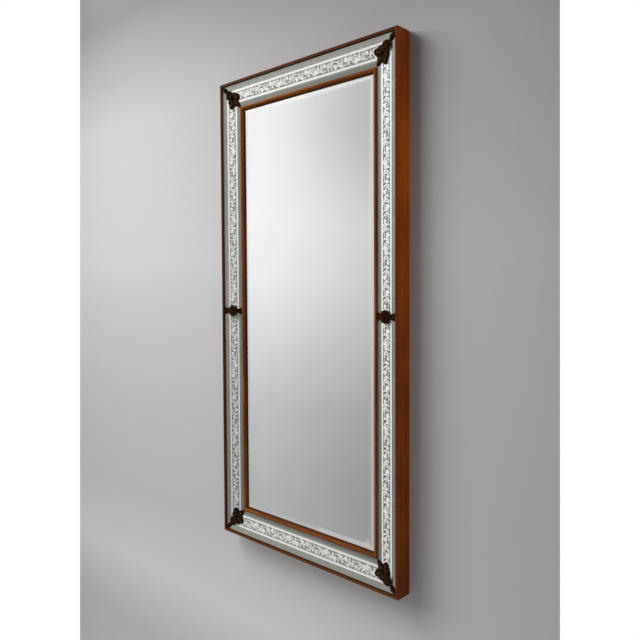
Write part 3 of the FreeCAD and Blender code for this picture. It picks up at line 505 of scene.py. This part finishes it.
def band_leaf(root, angle, length, width, bend, lobes, clear):
    """The edges of a lobed leaf that bends as it grows, in two halves if its midrib is clear."""
    steps = 20
    x, y = root
    turn = math.radians(angle)
    left, right, mid_left, mid_right = [], [], [], []
    for i in range(steps + 1):
        t = i / steps
        body = 0.12 * (1 - t)
        if 0 < t < 1:
            body = math.sin(math.pi * (t * 0.93 + 0.07) ** 0.75) ** 0.8
        half = width / 2 * body * lobed(t, lobes)
        rib = min(half * 0.8, clear / 2 * (1 - t) ** 0.5) if t > 0.12 else 0.0
        nx, ny = -math.sin(turn), math.cos(turn)
        for edge, away in ((left, half), (mid_left, rib), (mid_right, -rib), (right, -half)):
            edge.append((x + nx * away, y + ny * away))
        x += math.cos(turn) * length / steps
        y += math.sin(turn) * length / steps
        turn += math.radians(bend) / steps
    return [(left, mid_left), (mid_right, right)] if clear else [(left, right)]


def band_stem(points, width):
    """The two edges of a stem along points."""
    left, right = [], []
    for i, (x, y) in enumerate(points):
        x0, y0 = points[max(0, i - 1)]
        x1, y1 = points[min(len(points) - 1, i + 1)]
        far = math.hypot(x1 - x0, y1 - y0)
        nx, ny = -(y1 - y0) / far, (x1 - x0) / far
        left.append((x + nx * width / 2, y + ny * width / 2))
        right.append((x - nx * width / 2, y - ny * width / 2))
    return left, right


def blossom(x, y, radius, petals, turned, stretch):
    """The rim of a blossom, and its middle as the other edge."""
    steps = 36
    rim = []
    for i in range(steps + 1):
        turn = math.tau * i / steps
        reach = radius * (0.62 + 0.38 * abs(math.cos(petals * (turn - turned) / 2)) ** 0.7)
        rim.append((x + math.cos(turn) * reach * stretch, y + math.sin(turn) * reach / stretch))
    return rim, [(x, y)] * len(rim)


def hollow(chance):
    """The shapes in one hollow of the stem, about its own middle. They vary as hand work does."""
    def near(value, share):
        return value * (1 + chance.uniform(-share, share))

    def stem(x):
        return -STEM_SWING * math.cos(math.pi * x / HOLLOW)

    line = [HOLLOW * (i / 24 - 0.5) for i in range(25)]
    shapes = [band_stem([(x, stem(x)) for x in line], STEM_WIDTH)]
    x = BLOSSOM_PLACE[0] + chance.uniform(-2, 2)
    y = BLOSSOM_PLACE[1] + chance.uniform(-1.6, 1.6)
    shapes.append(blossom(x, y, near(BLOSSOM_RADIUS, 0.2), chance.choice((3, 4, 5)),
                          chance.uniform(0, 2), chance.uniform(0.85, 1.25)))
    foot = x - STALK_RUN
    stalk = [(foot + (x - foot) * (i / 8) ** 1.6, stem(foot) + (y - stem(foot)) * i / 8)
             for i in range(9)]
    shapes.append(band_stem(stalk, STALK_WIDTH))
    for place, turn, length, width, bend, lobes, clear in SCROLL_LEAVES:
        root = place + chance.uniform(-1.6, 1.6)
        shapes += band_leaf((root, stem(root)), turn + chance.uniform(-12, 12), near(length, 0.16),
                            near(width, 0.22), bend * near(1, 0.3), lobes, clear)
    return shapes


def scroll_tile(hollows, length):
    """A run of the scroll as a flat mesh, in the plane of X and Z, facing the front."""
    stretch = length / (HOLLOW * hollows)
    chance = random.Random(SCROLL_SEED)
    build = bmesh.new()
    for k in range(hollows):
        flip = 1 if k % 2 == 0 else -1
        middle = (k - (hollows - 1) / 2) * HOLLOW
        for i, edges in enumerate(hollow(chance)):
            lift = SHAPE_LIFT * i + HOLLOW_LIFT * (k % 2)
            left, right = [], []
            for verts, edge in zip((left, right), edges):
                for x, y in edge:
                    side = max(-BAND_HALF, min(BAND_HALF, y * BAND_SPREAD + BAND_SHIFT))
                    place = ((x + middle) * stretch * MM, -lift * MM, side * flip * MM)
                    verts.append(build.verts.new(place))
            for j in range(len(left) - 1):
                build.faces.new((left[j], left[j + 1], right[j + 1], right[j]))
    bmesh.ops.remove_doubles(build, verts=build.verts, dist=1e-7)
    bmesh.ops.dissolve_degenerate(build, edges=build.edges, dist=1e-7)
    for face in build.faces:
        face.normal_update()
        if face.normal.y > 0:
            face.normal_flip()
    mesh = bpy.data.meshes.new("scroll_tile")
    build.to_mesh(mesh)
    build.free()
    return mesh


etching = etched_glass()
band_face = outer_face + slope * (band_inset - case_wall)
band_x = outer_x - band_inset
band_z = outer_z - band_inset
tilt = math.atan(slope)


def etched_band(name, tiles, length, first, turn):
    """The scroll along one strip: a row of tiles from a first place, turned to run up or along."""
    count, hollows = tiles
    pitch = length / count
    upright = Matrix.Rotation(turn, 4, "Y")
    lean = upright @ Matrix.Rotation(tilt, 4, "X")
    tile = scroll_tile(hollows, pitch / MM)
    tile.transform(lean)
    run = upright @ Vector((pitch, 0, 0))
    start = Vector(first) + run / 2 + lean @ Vector((0, -FILM * MM, 0))
    mesh = repeated(tile, etching, count, start, run)
    return new_piece(name, mesh, etching, smooth=False)


# Where the scroll stops: before the leaves, sideways and upwards, and before the rosettes
end_x = 348 * MM
end_z = outer_z - 62 * MM
end_middle = 16 * MM
etched_band("etched_scroll_top", LEVEL_TILES, 2 * end_x, (-end_x, band_face, band_z), 0.0)
etched_band("etched_scroll_bottom", LEVEL_TILES, 2 * end_x, (end_x, band_face, -band_z), math.pi)
for side, sign in (("left", -1), ("right", 1)):
    for half, low, high in (("upper", end_middle, end_z), ("lower", -end_z, -end_middle)):
        foot = (band_x * sign, band_face, high if sign > 0 else low)
        etched_band(f"etched_scroll_{side}_{half}", UPRIGHT_TILES, high - low, foot,
                    math.pi / 2 * sign)


# Cast ornaments, in millimetres. Their rub and shade value is how far wear and painted light have
# brightened each point; low values are patina and painted shade.

# How many points along and across each casting has
LOBE_GRID, STALK_GRID, PETAL_GRID, STRAP_GRID = (33, 21), (61, 29), (15, 11), (57, 21)


def clamp(value):
    """A value kept from zero to one."""
    return min(1.0, max(0.0, value))


def ridge(away, width):
    """A rounded ridge of height one, at a distance from its line."""
    return math.exp(-(away / width) ** 2)


def new_casting():
    """An empty shape whose points have a rub and shade value."""
    build = bmesh.new()
    return build, build.verts.layers.float.new("rub")


def shell(build, layer, grid, shape):
    """A closed plate over a grid. Shape takes a point's shares of the way along and across, and
    gives its front, its back and its rub and shade value."""
    rows, columns = grid
    points = [[shape(i / (rows - 1), j / (columns - 1)) for j in range(columns)]
              for i in range(rows)]
    tops = [[build.verts.new(front) for front, back, rub in row] for row in points]
    backs = [[build.verts.new(back) for front, back, rub in row] for row in points]
    for i in range(rows):
        for j in range(columns):
            tops[i][j][layer] = points[i][j][2]
    for i in range(rows - 1):
        for j in range(columns - 1):
            build.faces.new((tops[i][j], tops[i][j + 1], tops[i + 1][j + 1], tops[i + 1][j]))
            build.faces.new((backs[i][j], backs[i + 1][j], backs[i + 1][j + 1], backs[i][j + 1]))
    rim = [(i, 0) for i in range(rows)] + [(rows - 1, j) for j in range(1, columns)]
    rim += [(i, columns - 1) for i in range(rows - 2, -1, -1)]
    rim += [(0, j) for j in range(columns - 2, 0, -1)]
    for (a, b), (c, d) in zip(rim, rim[1:] + rim[:1]):
        build.faces.new((tops[a][b], tops[c][d], backs[c][d], backs[a][b]))


def cast(build, name):
    """Close the poles of a casting, turn its faces outwards and make its mesh."""
    bmesh.ops.remove_doubles(build, verts=build.verts, dist=2e-6)
    bmesh.ops.dissolve_degenerate(build, edges=build.edges, dist=2e-6)
    bmesh.ops.recalc_face_normals(build, faces=build.faces)
    mesh = bpy.data.meshes.new(name)
    build.to_mesh(mesh)
    build.free()
    return mesh


def over_corner(along, aside, lift):
    """A point over the top right corner: along the mitre from the case's inner corner, aside from
    the mitre, and lifted off the glass."""
    a = (along + aside) / math.sqrt(2)
    b = (along - aside) / math.sqrt(2)
    near = max(0.0, min(a, b) * MM)
    return Vector((case_x - a * MM, outer_face + slope * min(near, border) - lift * MM,
                   case_z - b * MM))


LEAF_CENTRE = 73
# For each lobe: its angle, length, width, rise at its root, and how its outline swells, as its
# start, how far out it is widest, and how full it is
BLUNT, POINTED = (0.05, 1.15, 0.62), (0.04, 0.8, 0.85)
LEAF_LOBES = (
    (112, 27, 20, 0.8, BLUNT),
    (-112, 27, 20, 0.8, BLUNT),
    (64, 37, 27, 1.2, BLUNT),
    (-64, 37, 27, 1.2, BLUNT),
    (0, 44, 24, 2.0, POINTED),
)
LOBE_SEAT, LOBE_CROWN, LOBE_RIB, LOBE_VEIN, LOBE_TIP = 1.6, 2.8, 1.6, 0.8, 1.4
LOBE_SCALLOPS = 3.5


def leaf_lobe(build, layer, angle, length, width, rise, swell):
    """One lobe: crowned, with scalloped edges, a midrib, side veins and a lifted tip."""
    turn = math.radians(angle)
    start, widest, full = swell

    def shape(t, across):
        s = 2 * across - 1
        outline = 0.0
        if t < 1:
            outline = math.sin(math.pi * (start + (1 - start) * t) ** widest) ** full
        outline *= 0.82 + 0.18 * abs(math.cos(LOBE_SCALLOPS * math.pi * t))
        out = length * (t - 0.05 * (1 - s * s) * t * (1 - t))
        side = width / 2 * outline * s
        along = LEAF_CENTRE + math.cos(turn) * out - math.sin(turn) * side
        aside = math.sin(turn) * out + math.cos(turn) * side
        middle = math.sin(math.pi * min(1.0, t * 0.94 + 0.06))
        crown = (1 - s * s) ** 0.8 * middle ** 0.6
        rib = LOBE_RIB * ridge(s, 0.13) * (1 - t) ** 0.4
        veins = LOBE_VEIN * math.cos(math.tau * (LOBE_SCALLOPS * t - 0.9 * abs(s)))
        veins *= min(1.0, 1.8 * abs(s)) * (1 - 0.6 * s * s) * middle
        lift = LOBE_SEAT + rise * (1 - t) + LOBE_TIP * t ** 3 + LOBE_CROWN * crown + rib + veins
        # Painted shade darkens the lobes towards the leaf's middle, where they meet; crown, midrib
        # and veins are brightened by wear and painted light.
        root = min(1.0, 0.25 + 2.6 * t)
        rub = clamp(root * (0.10 + 0.22 * crown + 0.26 * rib + 0.45 * veins + 0.12 * t))
        return over_corner(along, aside, max(1.0, lift)), over_corner(along, aside, 0.0), rub

    shell(build, layer, LOBE_GRID, shape)


# Where the flower stands on the mitre, and how far its seat is off the glass
FLOWER_ALONG, FLOWER_LIFT = 50, 3
# The stalk's places along the mitre: its bud's start and end, its neck's start, and its collar
BUD_START, BUD_END, NECK_START, COLLAR = 3, 37, 27, 36
BUD_HALF, BUD_HIGH, NECK_HALF, COLLAR_HIGH = 8.6, 7.4, 4.8, 1.6
FLUTES, FLUTE_DEPTH = 10, 0.13


def leaf_stalk(build, layer):
    """The neck under the flower and the fluted bud that points into the corner."""
    def shape(t, across):
        along = BUD_START + (LEAF_CENTRE - BUD_START) * t
        swell = 0.0
        if along < BUD_END:
            swell = math.sin(math.pi * (along - BUD_START) / (BUD_END - BUD_START)) ** 0.7
        neck = NECK_HALF * clamp((along - NECK_START) / 8)
        neck += COLLAR_HIGH * ridge(along - COLLAR, 1.8)
        half = max(0.05, BUD_HALF * swell, neck)
        high = max(0.05, BUD_HIGH * swell, neck * 1.05)
        turn = math.pi * across
        raised = 0.5 + 0.5 * math.cos(FLUTES * turn)
        flute = 1 - FLUTE_DEPTH * (1 - raised)
        aside = half * math.cos(turn) * flute
        # Wear and painted light brighten the bud along its top and its flutes' ridges; the grooves
        # and flanks stay dark as painted shade.
        rub = 0.05 + 0.62 * math.sin(turn) * raised
        return (over_corner(along, aside, high * math.sin(turn) * flute),
                over_corner(along, aside, 0.0), rub)

    shell(build, layer, STALK_GRID, shape)


def leaf_mesh():
    """The leaf of the top right corner."""
    build, layer = new_casting()
    for lobe in LEAF_LOBES:
        leaf_lobe(build, layer, *lobe)
    leaf_stalk(build, layer)
    return cast(build, "corner_leaf")


def petal_mesh(root, reach, width, foot, crown, thick, curl):
    """One petal that grows along X from its flower's axis, in front of the plane y = 0: spooned and
    grooved, with a rolled edge and a slight notch."""
    build, layer = new_casting()
    spoon, groove, notch = 1.1, 0.9, 0.06

    def shape(t, across):
        s = 2 * across - 1
        outline = math.sin(math.pi * (0.10 + 0.90 * t) ** 1.25) ** 0.6 if t < 1 else 0.0
        x = root + (reach - root) * t * (1 - notch * (1 - abs(s)) * t)
        z = width / 2 * max(outline, 0.02) * s
        high = foot + (crown - foot) * math.sin(math.pi / 2 * min(1.0, t * 1.25)) - curl * t ** 5
        high += (spoon * s * s - groove * ridge(s, 0.22)) * math.sin(math.pi * t)
        rub = clamp(0.12 + 0.42 * s * s * min(1.0, 2 * t) + 0.34 * t ** 3)
        return (Vector((x, -high, z)) * MM, Vector((x, -max(0.0, high - thick), z)) * MM, rub)

    shell(build, layer, PETAL_GRID, shape)
    return cast(build, "petal")


def knob_mesh(radius, foot, crown, ribs):
    """A domed button about the flower's axis, from its foot to its crown, with this many ribs."""
    build, layer = new_casting()
    rings, sides, rib_depth = 8, 24, 0.09
    rows = []
    for i in range(rings + 1):
        t = i / rings
        high = foot + (crown - foot) * math.sin(math.pi / 2 * t)
        row = []
        for j in range(sides):
            turn = math.tau * j / sides
            cut = rib_depth * (0.5 - 0.5 * math.cos(ribs * turn)) * math.sin(math.pi * t)
            reach = radius * math.cos(math.pi / 2 * t) * (1 - cut)
            place = Vector((reach * math.cos(turn), -high, reach * math.sin(turn))) * MM
            row.append(build.verts.new(place))
            row[-1][layer] = 0.12 + 0.6 * t
        rows.append(row)
    for i in range(rings):
        for j in range(sides):
            k = (j + 1) % sides
            build.faces.new((rows[i][j], rows[i][k], rows[i + 1][k], rows[i + 1][j]))
    build.faces.new(rows[0][::-1])
    return cast(build, "knob")


def bead(radius, away, high):
    """A small ball on a flower, away from its axis and in front of its seat."""
    build, layer = new_casting()
    place = Matrix.Translation(Vector((away, -high, 0)) * MM)
    made = bmesh.ops.create_uvsphere(build, u_segments=10, v_segments=6, radius=radius * MM,
                                     matrix=place)
    for vert in made["verts"]:
        vert[layer] = 0.66
    # A new ball's points come in the same order each time, but its faces don't until they are sorted.
    build.verts.index_update()
    count = len(build.verts)
    build.faces.sort(key=lambda face: face.verts[0].index * count + face.verts[1].index)
    return cast(build, "bead")


STUD_RADIUS = 2


def stud(length):
    """The plain rod behind a flower, from its seat through the glass and the ground frame. Its
    length is in metres."""
    build = new_casting()[0]
    place = Matrix.Translation(Vector((0, length / 2, 0))) @ Matrix.Rotation(math.pi / 2, 4, "X")
    bmesh.ops.create_cone(build, cap_ends=True, segments=16, radius1=STUD_RADIUS * MM,
                          radius2=STUD_RADIUS * MM, depth=length, matrix=place)
    return cast(build, "stud")


# Petals: root, reach, width, foot, crown, thickness and curl. Beads: radius, distance from the axis
# and height. Button and dome: radius, foot, crown and ribs. The ring that is named as turned stands
# half a petal round from the other.
FLOWER = {
    "count": 6, "turned": "inner",
    "outer": (2.5, 18.0, 17.5, 1.0, 6.2, 2.6, 2.0),
    "inner": (1.5, 10.8, 9.5, 3.0, 7.6, 2.0, 1.2),
    "beads": 10, "bead": (1.15, 5.6, 7.6),
    "button": (4.6, 3.0, 9.3, 8), "dome": (7.5, 0.0, 3.4, 0),
}
ROSETTE = {
    "count": 10, "turned": "outer",
    "outer": (5.0, 22.0, 14.6, 2.0, 7.6, 3.6, 3.2),
    "inner": (3.0, 14.0, 9.0, 5.0, 10.2, 2.6, 1.6),
    "beads": 12, "bead": (1.2, 6.2, 10.0),
    "button": (5.0, 6.0, 11.8, 9), "dome": (17.0, 0.0, 4.6, 0),
}


def flower_mesh(sizes, stud_length):
    """Two rings of petals, a ring of beads about a ribbed button, a low dome and a stud."""
    step = math.tau / sizes["count"]
    parts = []
    for ring in ("outer", "inner"):
        petals = repeated(petal_mesh(*sizes[ring]), bronze, sizes["count"], turn=step)
        turn = step / 2 if sizes["turned"] == ring else 0.0
        parts.append((petals, Matrix.Rotation(turn, 4, "Y")))
    beads = repeated(bead(*sizes["bead"]), bronze, sizes["beads"], turn=math.tau / sizes["beads"])
    rest = (beads, knob_mesh(*sizes["button"]), knob_mesh(*sizes["dome"]), stud(stud_length))
    return joined(parts + [(mesh, Matrix.Identity(4)) for mesh in rest])


# The strap: its half width at the ends and how far it is pinched in; its thickness, and how far its
# face is sunk between a bead at each edge and a rib in the middle; the lengths of its raised ends
# at the case and at the moulding; how far it stays behind the moulding's crest and the frame's front
STRAP_HALF, STRAP_PINCH = 13, 5
STRAP_THICK, STRAP_SUNK, EDGE_BEAD, MIDDLE_RIB = 2.5, 0.9, 0.9, 1.1
CASE_END, MOULDING_END, CREST_CLEAR, FRONT_CLEAR = 6, 10, 1.0, 0.7


def strap_mesh():
    """The strap of the right border: waisted, with a bead along each edge and a raised middle rib,
    and thick ends that stand against the case and the moulding."""
    build, layer = new_casting()
    outer, inner = case_wall / MM, strip_end / MM
    rib_top = STRAP_THICK - STRAP_SUNK + MIDDLE_RIB
    moulding_rise = (inner_face - moulding_low.y) / MM - rib_top - CREST_CLEAR

    def shape(t, across):
        s = 2 * across - 1
        inset = outer + (inner - outer) * t
        from_case, from_moulding = inset - outer, inner - inset
        from_end = min(from_case, from_moulding)
        pinch = 0.5 - 0.5 * math.cos(math.pi * clamp((from_end - 4) / 20))
        half = STRAP_HALF - STRAP_PINCH * pinch - 1.2 * ridge(from_end - 5.5, 1.5)
        thick = STRAP_THICK
        if from_case < CASE_END:
            thick += 2.3 * math.cos(math.pi / 2 * from_case / CASE_END)
        elif from_moulding < MOULDING_END:
            thick += moulding_rise * (0.5 + 0.5 * math.cos(math.pi * from_moulding / MOULDING_END))
        edge = EDGE_BEAD * ridge(abs(s) - 0.82, 0.10)
        middle = MIDDLE_RIB * ridge(s, 0.2)
        round_off = 1.4 * max(0.0, (abs(s) - 0.9) / 0.1) ** 2
        lift = thick - STRAP_SUNK + edge + middle - round_off
        x = cad_high.x - inset * MM
        z = half * s * MM
        face = outer_face + slope * from_case * MM
        front = max(face - lift * MM, cad_low.y + FRONT_CLEAR * MM)
        rub = min(1.0, 0.15 + edge * 0.7 + middle * 0.5)
        return Vector((x, front, z)), Vector((x, face, z)), rub

    shell(build, layer, STRAP_GRID, shape)
    return cast(build, "strap")


def turned_over(mesh, sx, sz):
    """A mesh of the top right quarter, mirrored for another one, its faces outwards again."""
    copy = mesh.copy()
    copy.transform(Matrix.Diagonal((sx, 1, sz, 1)))
    if sx * sz < 0:
        copy.flip_normals()
    return copy


leaf = leaf_mesh()
flower_seat = over_corner(FLOWER_ALONG, 0, FLOWER_LIFT)
flower = flower_mesh(FLOWER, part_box("corner_flower_top_right")[1].y - flower_seat.y)
flower.transform(Matrix.Translation(flower_seat))
for upper, sz in (("top", 1), ("bottom", -1)):
    for side, sx in (("left", -1), ("right", 1)):
        corner = f"{upper}_{side}"
        piece = new_piece(f"bronze_leaf_{corner}", turned_over(leaf, sx, sz), bronze)
        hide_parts(f"corner_leaf_{corner}")
        piece = new_piece(f"bronze_flower_{corner}", turned_over(flower, sx, sz), bronze)
        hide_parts(f"corner_flower_{corner}")

strap = strap_mesh()
rosette_seat = Vector((case_x - border / 2,
                       outer_face + slope * border / 2 - STRAP_THICK * MM, 0))
rosette = flower_mesh(ROSETTE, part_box("side_rosette_right")[1].y - rosette_seat.y)
rosette.transform(Matrix.Translation(rosette_seat))
for side, sx in (("left", -1), ("right", 1)):
    piece = new_piece(f"bronze_strap_{side}", turned_over(strap, sx, 1), bronze)
    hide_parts(f"side_strap_{side}")
    piece = new_piece(f"bronze_rosette_{side}", turned_over(rosette, sx, 1), bronze)
    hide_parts(f"side_rosette_{side}")


# Camera: where the photograph was taken from, its turns in degrees about Z, X and Y, and its focal
# length and the height of its middle in pixels of a square of 640

PICTURE, FOCAL, MIDDLE = 640, 632.6, 306.2
CAMERA_PLACE = (1.504, -1.585, 0.103)
CAMERA_TURNS = ((42.66, "Z"), (-2.09, "X"), (0.28, "Y"))
SENSOR = 36

camera_data = bpy.data.cameras.new("view")
camera_data.lens = SENSOR * FOCAL / PICTURE
camera_data.sensor_width = SENSOR
camera_data.shift_y = (MIDDLE - PICTURE / 2) / PICTURE
camera_data.clip_end = 50
camera = bpy.data.objects.new("view", camera_data)
bpy.context.scene.collection.objects.link(camera)
facing = Matrix.Translation(CAMERA_PLACE)
for degrees, axis in CAMERA_TURNS:
    facing = facing @ Matrix.Rotation(math.radians(degrees), 4, axis)
# A camera looks down before it is turned, so it is first raised to look along the wall's normal.
camera.matrix_world = facing @ Matrix.Rotation(math.pi / 2, 4, "X")
bpy.context.scene.camera = camera


# Stage: a pale wall behind and a pale floor well below. The wall is open behind the frame, where
# only the metal of the frame's back could show it.

# The plane of the wall, its ends at the foot and at the head, its height, how much smaller than the
# frame its opening is, and how far its greys reach from the middle
WALL_Y = 2 * MM
WALL_FOOT, WALL_HEAD, WALL_TOP = (-1.751, 0.886), (-1.554, 0.840), 3.0
OPENING_MARGIN = 8 * MM
WALL_REACH = 2.0
FLOOR_Z, FLOOR_FRONT, FLOOR_RIGHT = -2.05, -2.6, 2.4


def stage_sheet(name, corners, faces, material):
    """A flat sheet of the stage."""
    mesh = bpy.data.meshes.new(name)
    mesh.from_pydata(corners, [], faces)
    mesh.materials.append(material)
    thing = bpy.data.objects.new(name, mesh)
    bpy.context.scene.collection.objects.link(thing)


def wall_paint():
    """Matt pale paint in the greys of the photograph's wall, which carry that wall's light and shade
    as painted light. It is seen only from the room's side, so that the back can be looked at, and it
    neither shades the object nor lights it."""
    material, tree, place = new_material("matt_wall_paint")
    roller = add(tree, "ShaderNodeTexNoise", Vector=place, Scale=spaced(3.333), Detail=3)
    parts = add(tree, "ShaderNodeSeparateXYZ", Vector=place)
    aside, high = (
        add(tree, "ShaderNodeMapRange", Value=parts.outputs[axis], From_Min=-WALL_REACH,
            From_Max=WALL_REACH) for axis in ("X", "Z"))
    # Painted light and shade: the greys darken to the right and towards the top, and are lightest a
    # little above the floor.
    light_by_side = add(tree, "ShaderNodeValToRGB", {"stops": {
        0.08: 0.84, 0.3: 0.8, 0.5: 0.78, 0.6: 0.74, 0.66: 0.72, 0.72: 0.65}}, Fac=aside)
    light_by_rise = add(tree, "ShaderNodeValToRGB", {"stops": {
        0.12: 0.77, 0.2: 1.0, 0.28: 0.84, 0.36: 0.82, 0.55: 0.81, 0.71: 0.56, 0.77: 0.39,
        0.84: 0.24}}, Fac=high)
    colour = add(tree, "ShaderNodeMix", DARKENED, Factor=1.0, A=light_by_side, B=light_by_rise)
    fine = add(tree, "ShaderNodeBump", Height=roller, Strength=0.1, Distance=0.3 * MM)
    paint = add(tree, "ShaderNodeBsdfPrincipled", Base_Color=colour, Normal=fine, Roughness=1.0,
                Specular_IOR_Level=0.0)
    ray = add(tree, "ShaderNodeLightPath")
    behind = add(tree, "ShaderNodeNewGeometry").outputs["Backfacing"]
    passing = add(tree, "ShaderNodeMath", MAXIMUM, _0=ray.outputs["Is Shadow Ray"],
                  _1=ray.outputs["Is Diffuse Ray"])
    away = add(tree, "ShaderNodeMath", MAXIMUM, _0=passing, _1=behind)
    clear = add(tree, "ShaderNodeBsdfTransparent")
    mixed = add(tree, "ShaderNodeMixShader", _0=away, _1=paint, _2=clear)
    add(tree, "ShaderNodeOutputMaterial", Surface=mixed)
    return material


def floor_paint():
    """Matt pale floor paint, a little cloudy."""
    material, tree, place = new_material("matt_floor_paint")
    cloud = add(tree, "ShaderNodeTexNoise", Vector=place, Scale=spaced(250), Detail=3)
    colour = add(tree, "ShaderNodeValToRGB", {"stops": {0.3: "#e4e4e3", 0.7: "#e9e9e8"}},
                 Fac=cloud)
    surface(tree, Base_Color=colour, Roughness=0.85)
    return material


open_x, open_z = cad_high.x - OPENING_MARGIN, cad_high.z - OPENING_MARGIN
wall_outline = [(x, FLOOR_Z) for x in WALL_FOOT] + [(x, WALL_TOP) for x in WALL_HEAD[::-1]]
wall_opening = [(-open_x, -open_z), (open_x, -open_z), (open_x, open_z), (-open_x, open_z)]
stage_sheet("wall", [(x, WALL_Y, z) for x, z in wall_outline + wall_opening],
            [(i, (i + 1) % 4, (i + 1) % 4 + 4, i + 4) for i in range(4)], wall_paint())
floor_outline = [(WALL_FOOT[0], FLOOR_FRONT), (FLOOR_RIGHT, FLOOR_FRONT), (FLOOR_RIGHT, 0),
                 (WALL_FOOT[0], 0)]
stage_sheet("floor", [(x, y, FLOOR_Z) for x, y in floor_outline], [(0, 1, 2, 3)], floor_paint())


# Light

# For the window's light: its turn from the front towards the right, its rise and its spread in
# degrees, and its strength
WINDOW_TURN, WINDOW_RISE, WINDOW_SPREAD, WINDOW_STRENGTH = -70, 25, 40, 1.95
# For each lamp: its place, where it aims, its width and height in metres, and its power
LAMPS = {
    "upper_left_light": ((-1.2, -1.35, 1.65), (-0.2, 0, 0.4), 1.6, 1.2, 41),
    "side_light": ((1.0, 0.15, 0.38), (0.41, -0.03, 0.38), 0.3, 0.3, 2.4),
    "low_side_light": ((1.1, 0.15, -0.35), (0.41, -0.03, -0.45), 0.4, 0.6, 1.3),
    "back_light": ((0, 2.6, 0.8), (0, 0, 0), 2.0, 2.0, 50),
}


def light(name, kind, place, turn, **settings):
    """A light that the camera and the glass don't see."""
    data = bpy.data.lights.new(name, kind)
    for setting, value in settings.items():
        setattr(data, setting, value)
    thing = bpy.data.objects.new(name, data)
    thing.location = place
    thing.rotation_euler = turn.to_euler()
    thing.visible_camera = False
    thing.visible_glossy = False
    bpy.context.scene.collection.objects.link(thing)


turn, rise = math.radians(WINDOW_TURN), math.radians(WINDOW_RISE)
from_window = Vector((math.sin(turn) * math.cos(rise), -math.cos(turn) * math.cos(rise),
                      math.sin(rise)))
light("window_light", "SUN", (0, 0, 0), from_window.to_track_quat("Z", "Y"),
      angle=math.radians(WINDOW_SPREAD), energy=WINDOW_STRENGTH)
for name, (place, aim, width, height, power) in LAMPS.items():
    light(name, "AREA", place, (Vector(aim) - Vector(place)).to_track_quat("-Z", "Y"),
          shape="RECTANGLE", size=width, size_y=height, energy=power)

# The room that the glass shows is brightest beyond its front left, and darkens downwards: its greys
# by the turn from the front in degrees, and by the height on a sphere, from 0 at its foot to 1.
ROOM_BY_TURN = {-180: 1.0, -110: 0.10, -61: 0.08, -58: 0.94, -47.5: 0.98, -38: 0.70, -35: 0.70,
                -31: 0.84, -22: 0.42, 10: 0.55, 60: 0.75, 180: 1.0}
ROOM_BY_HEIGHT = {0.0: 0.45, 0.34: 0.48, 0.40: 0.57, 0.50: 0.92, 0.55: 1.0, 0.66: 0.97, 1.0: 0.8}

# How strongly the room lights what it surrounds
ROOM_LIGHT = 0.18

world = bpy.data.worlds.new("pale_room")
bpy.context.scene.world = world
world.use_nodes = True
room = world.node_tree
room.nodes.clear()
ray = add(room, "ShaderNodeLightPath")
sky = add(room, "ShaderNodeTexCoord").outputs["Generated"]
way = add(room, "ShaderNodeSeparateXYZ", Vector=sky)
forward = add(room, "ShaderNodeMath", MULTIPLY, _0=way.outputs["Y"], _1=-1.0)
around = add(room, "ShaderNodeMath", {"operation": "ARCTAN2"}, _0=way.outputs["X"], _1=forward)
sweep = add(room, "ShaderNodeMapRange", Value=around, From_Min=-math.pi, From_Max=math.pi)
rising = add(room, "ShaderNodeMapRange", Value=way.outputs["Z"], From_Min=-1.0, From_Max=1.0)
turn_stops = {(degrees + 180) / 360: grey for degrees, grey in ROOM_BY_TURN.items()}
by_turn = add(room, "ShaderNodeValToRGB", {"stops": turn_stops}, Fac=sweep)
by_height = add(room, "ShaderNodeValToRGB", {"stops": ROOM_BY_HEIGHT}, Fac=rising)
bright = add(room, "ShaderNodeMix", DARKENED, Factor=1.0, A=by_turn, B=by_height)
# Upwards and to the right, the room is dimmer.
dim_up = add(room, "ShaderNodeMapRange", Value=way.outputs["Z"], From_Min=0.07, From_Max=0.24)
dim_right = add(room, "ShaderNodeMapRange", Value=around, From_Min=math.radians(-47),
                From_Max=math.radians(-39), To_Max=0.22)
dim = add(room, "ShaderNodeMath", MULTIPLY, _0=dim_up, _1=dim_right)
seen = add(room, "ShaderNodeMix", COLOURS, Factor=dim, A=bright, B=(0, 0, 0, 1))
lit = add(room, "ShaderNodeBackground", Color=(1, 1, 1, 1), Strength=ROOM_LIGHT)
shown = add(room, "ShaderNodeBackground", Color=seen, Strength=1.0)
white = add(room, "ShaderNodeBackground", Color=(1, 1, 1, 1), Strength=1.0)
bounced = add(room, "ShaderNodeMath", MAXIMUM, _0=ray.outputs["Is Glossy Ray"],
              _1=ray.outputs["Is Transmission Ray"])
inside = add(room, "ShaderNodeMixShader", _0=bounced, _1=lit, _2=shown)
whole = add(room, "ShaderNodeMixShader", _0=ray.outputs["Is Camera Ray"], _1=inside, _2=white)
add(room, "ShaderNodeOutputWorld", Surface=whole)

bpy.context.scene.view_settings.view_transform = "Standard"
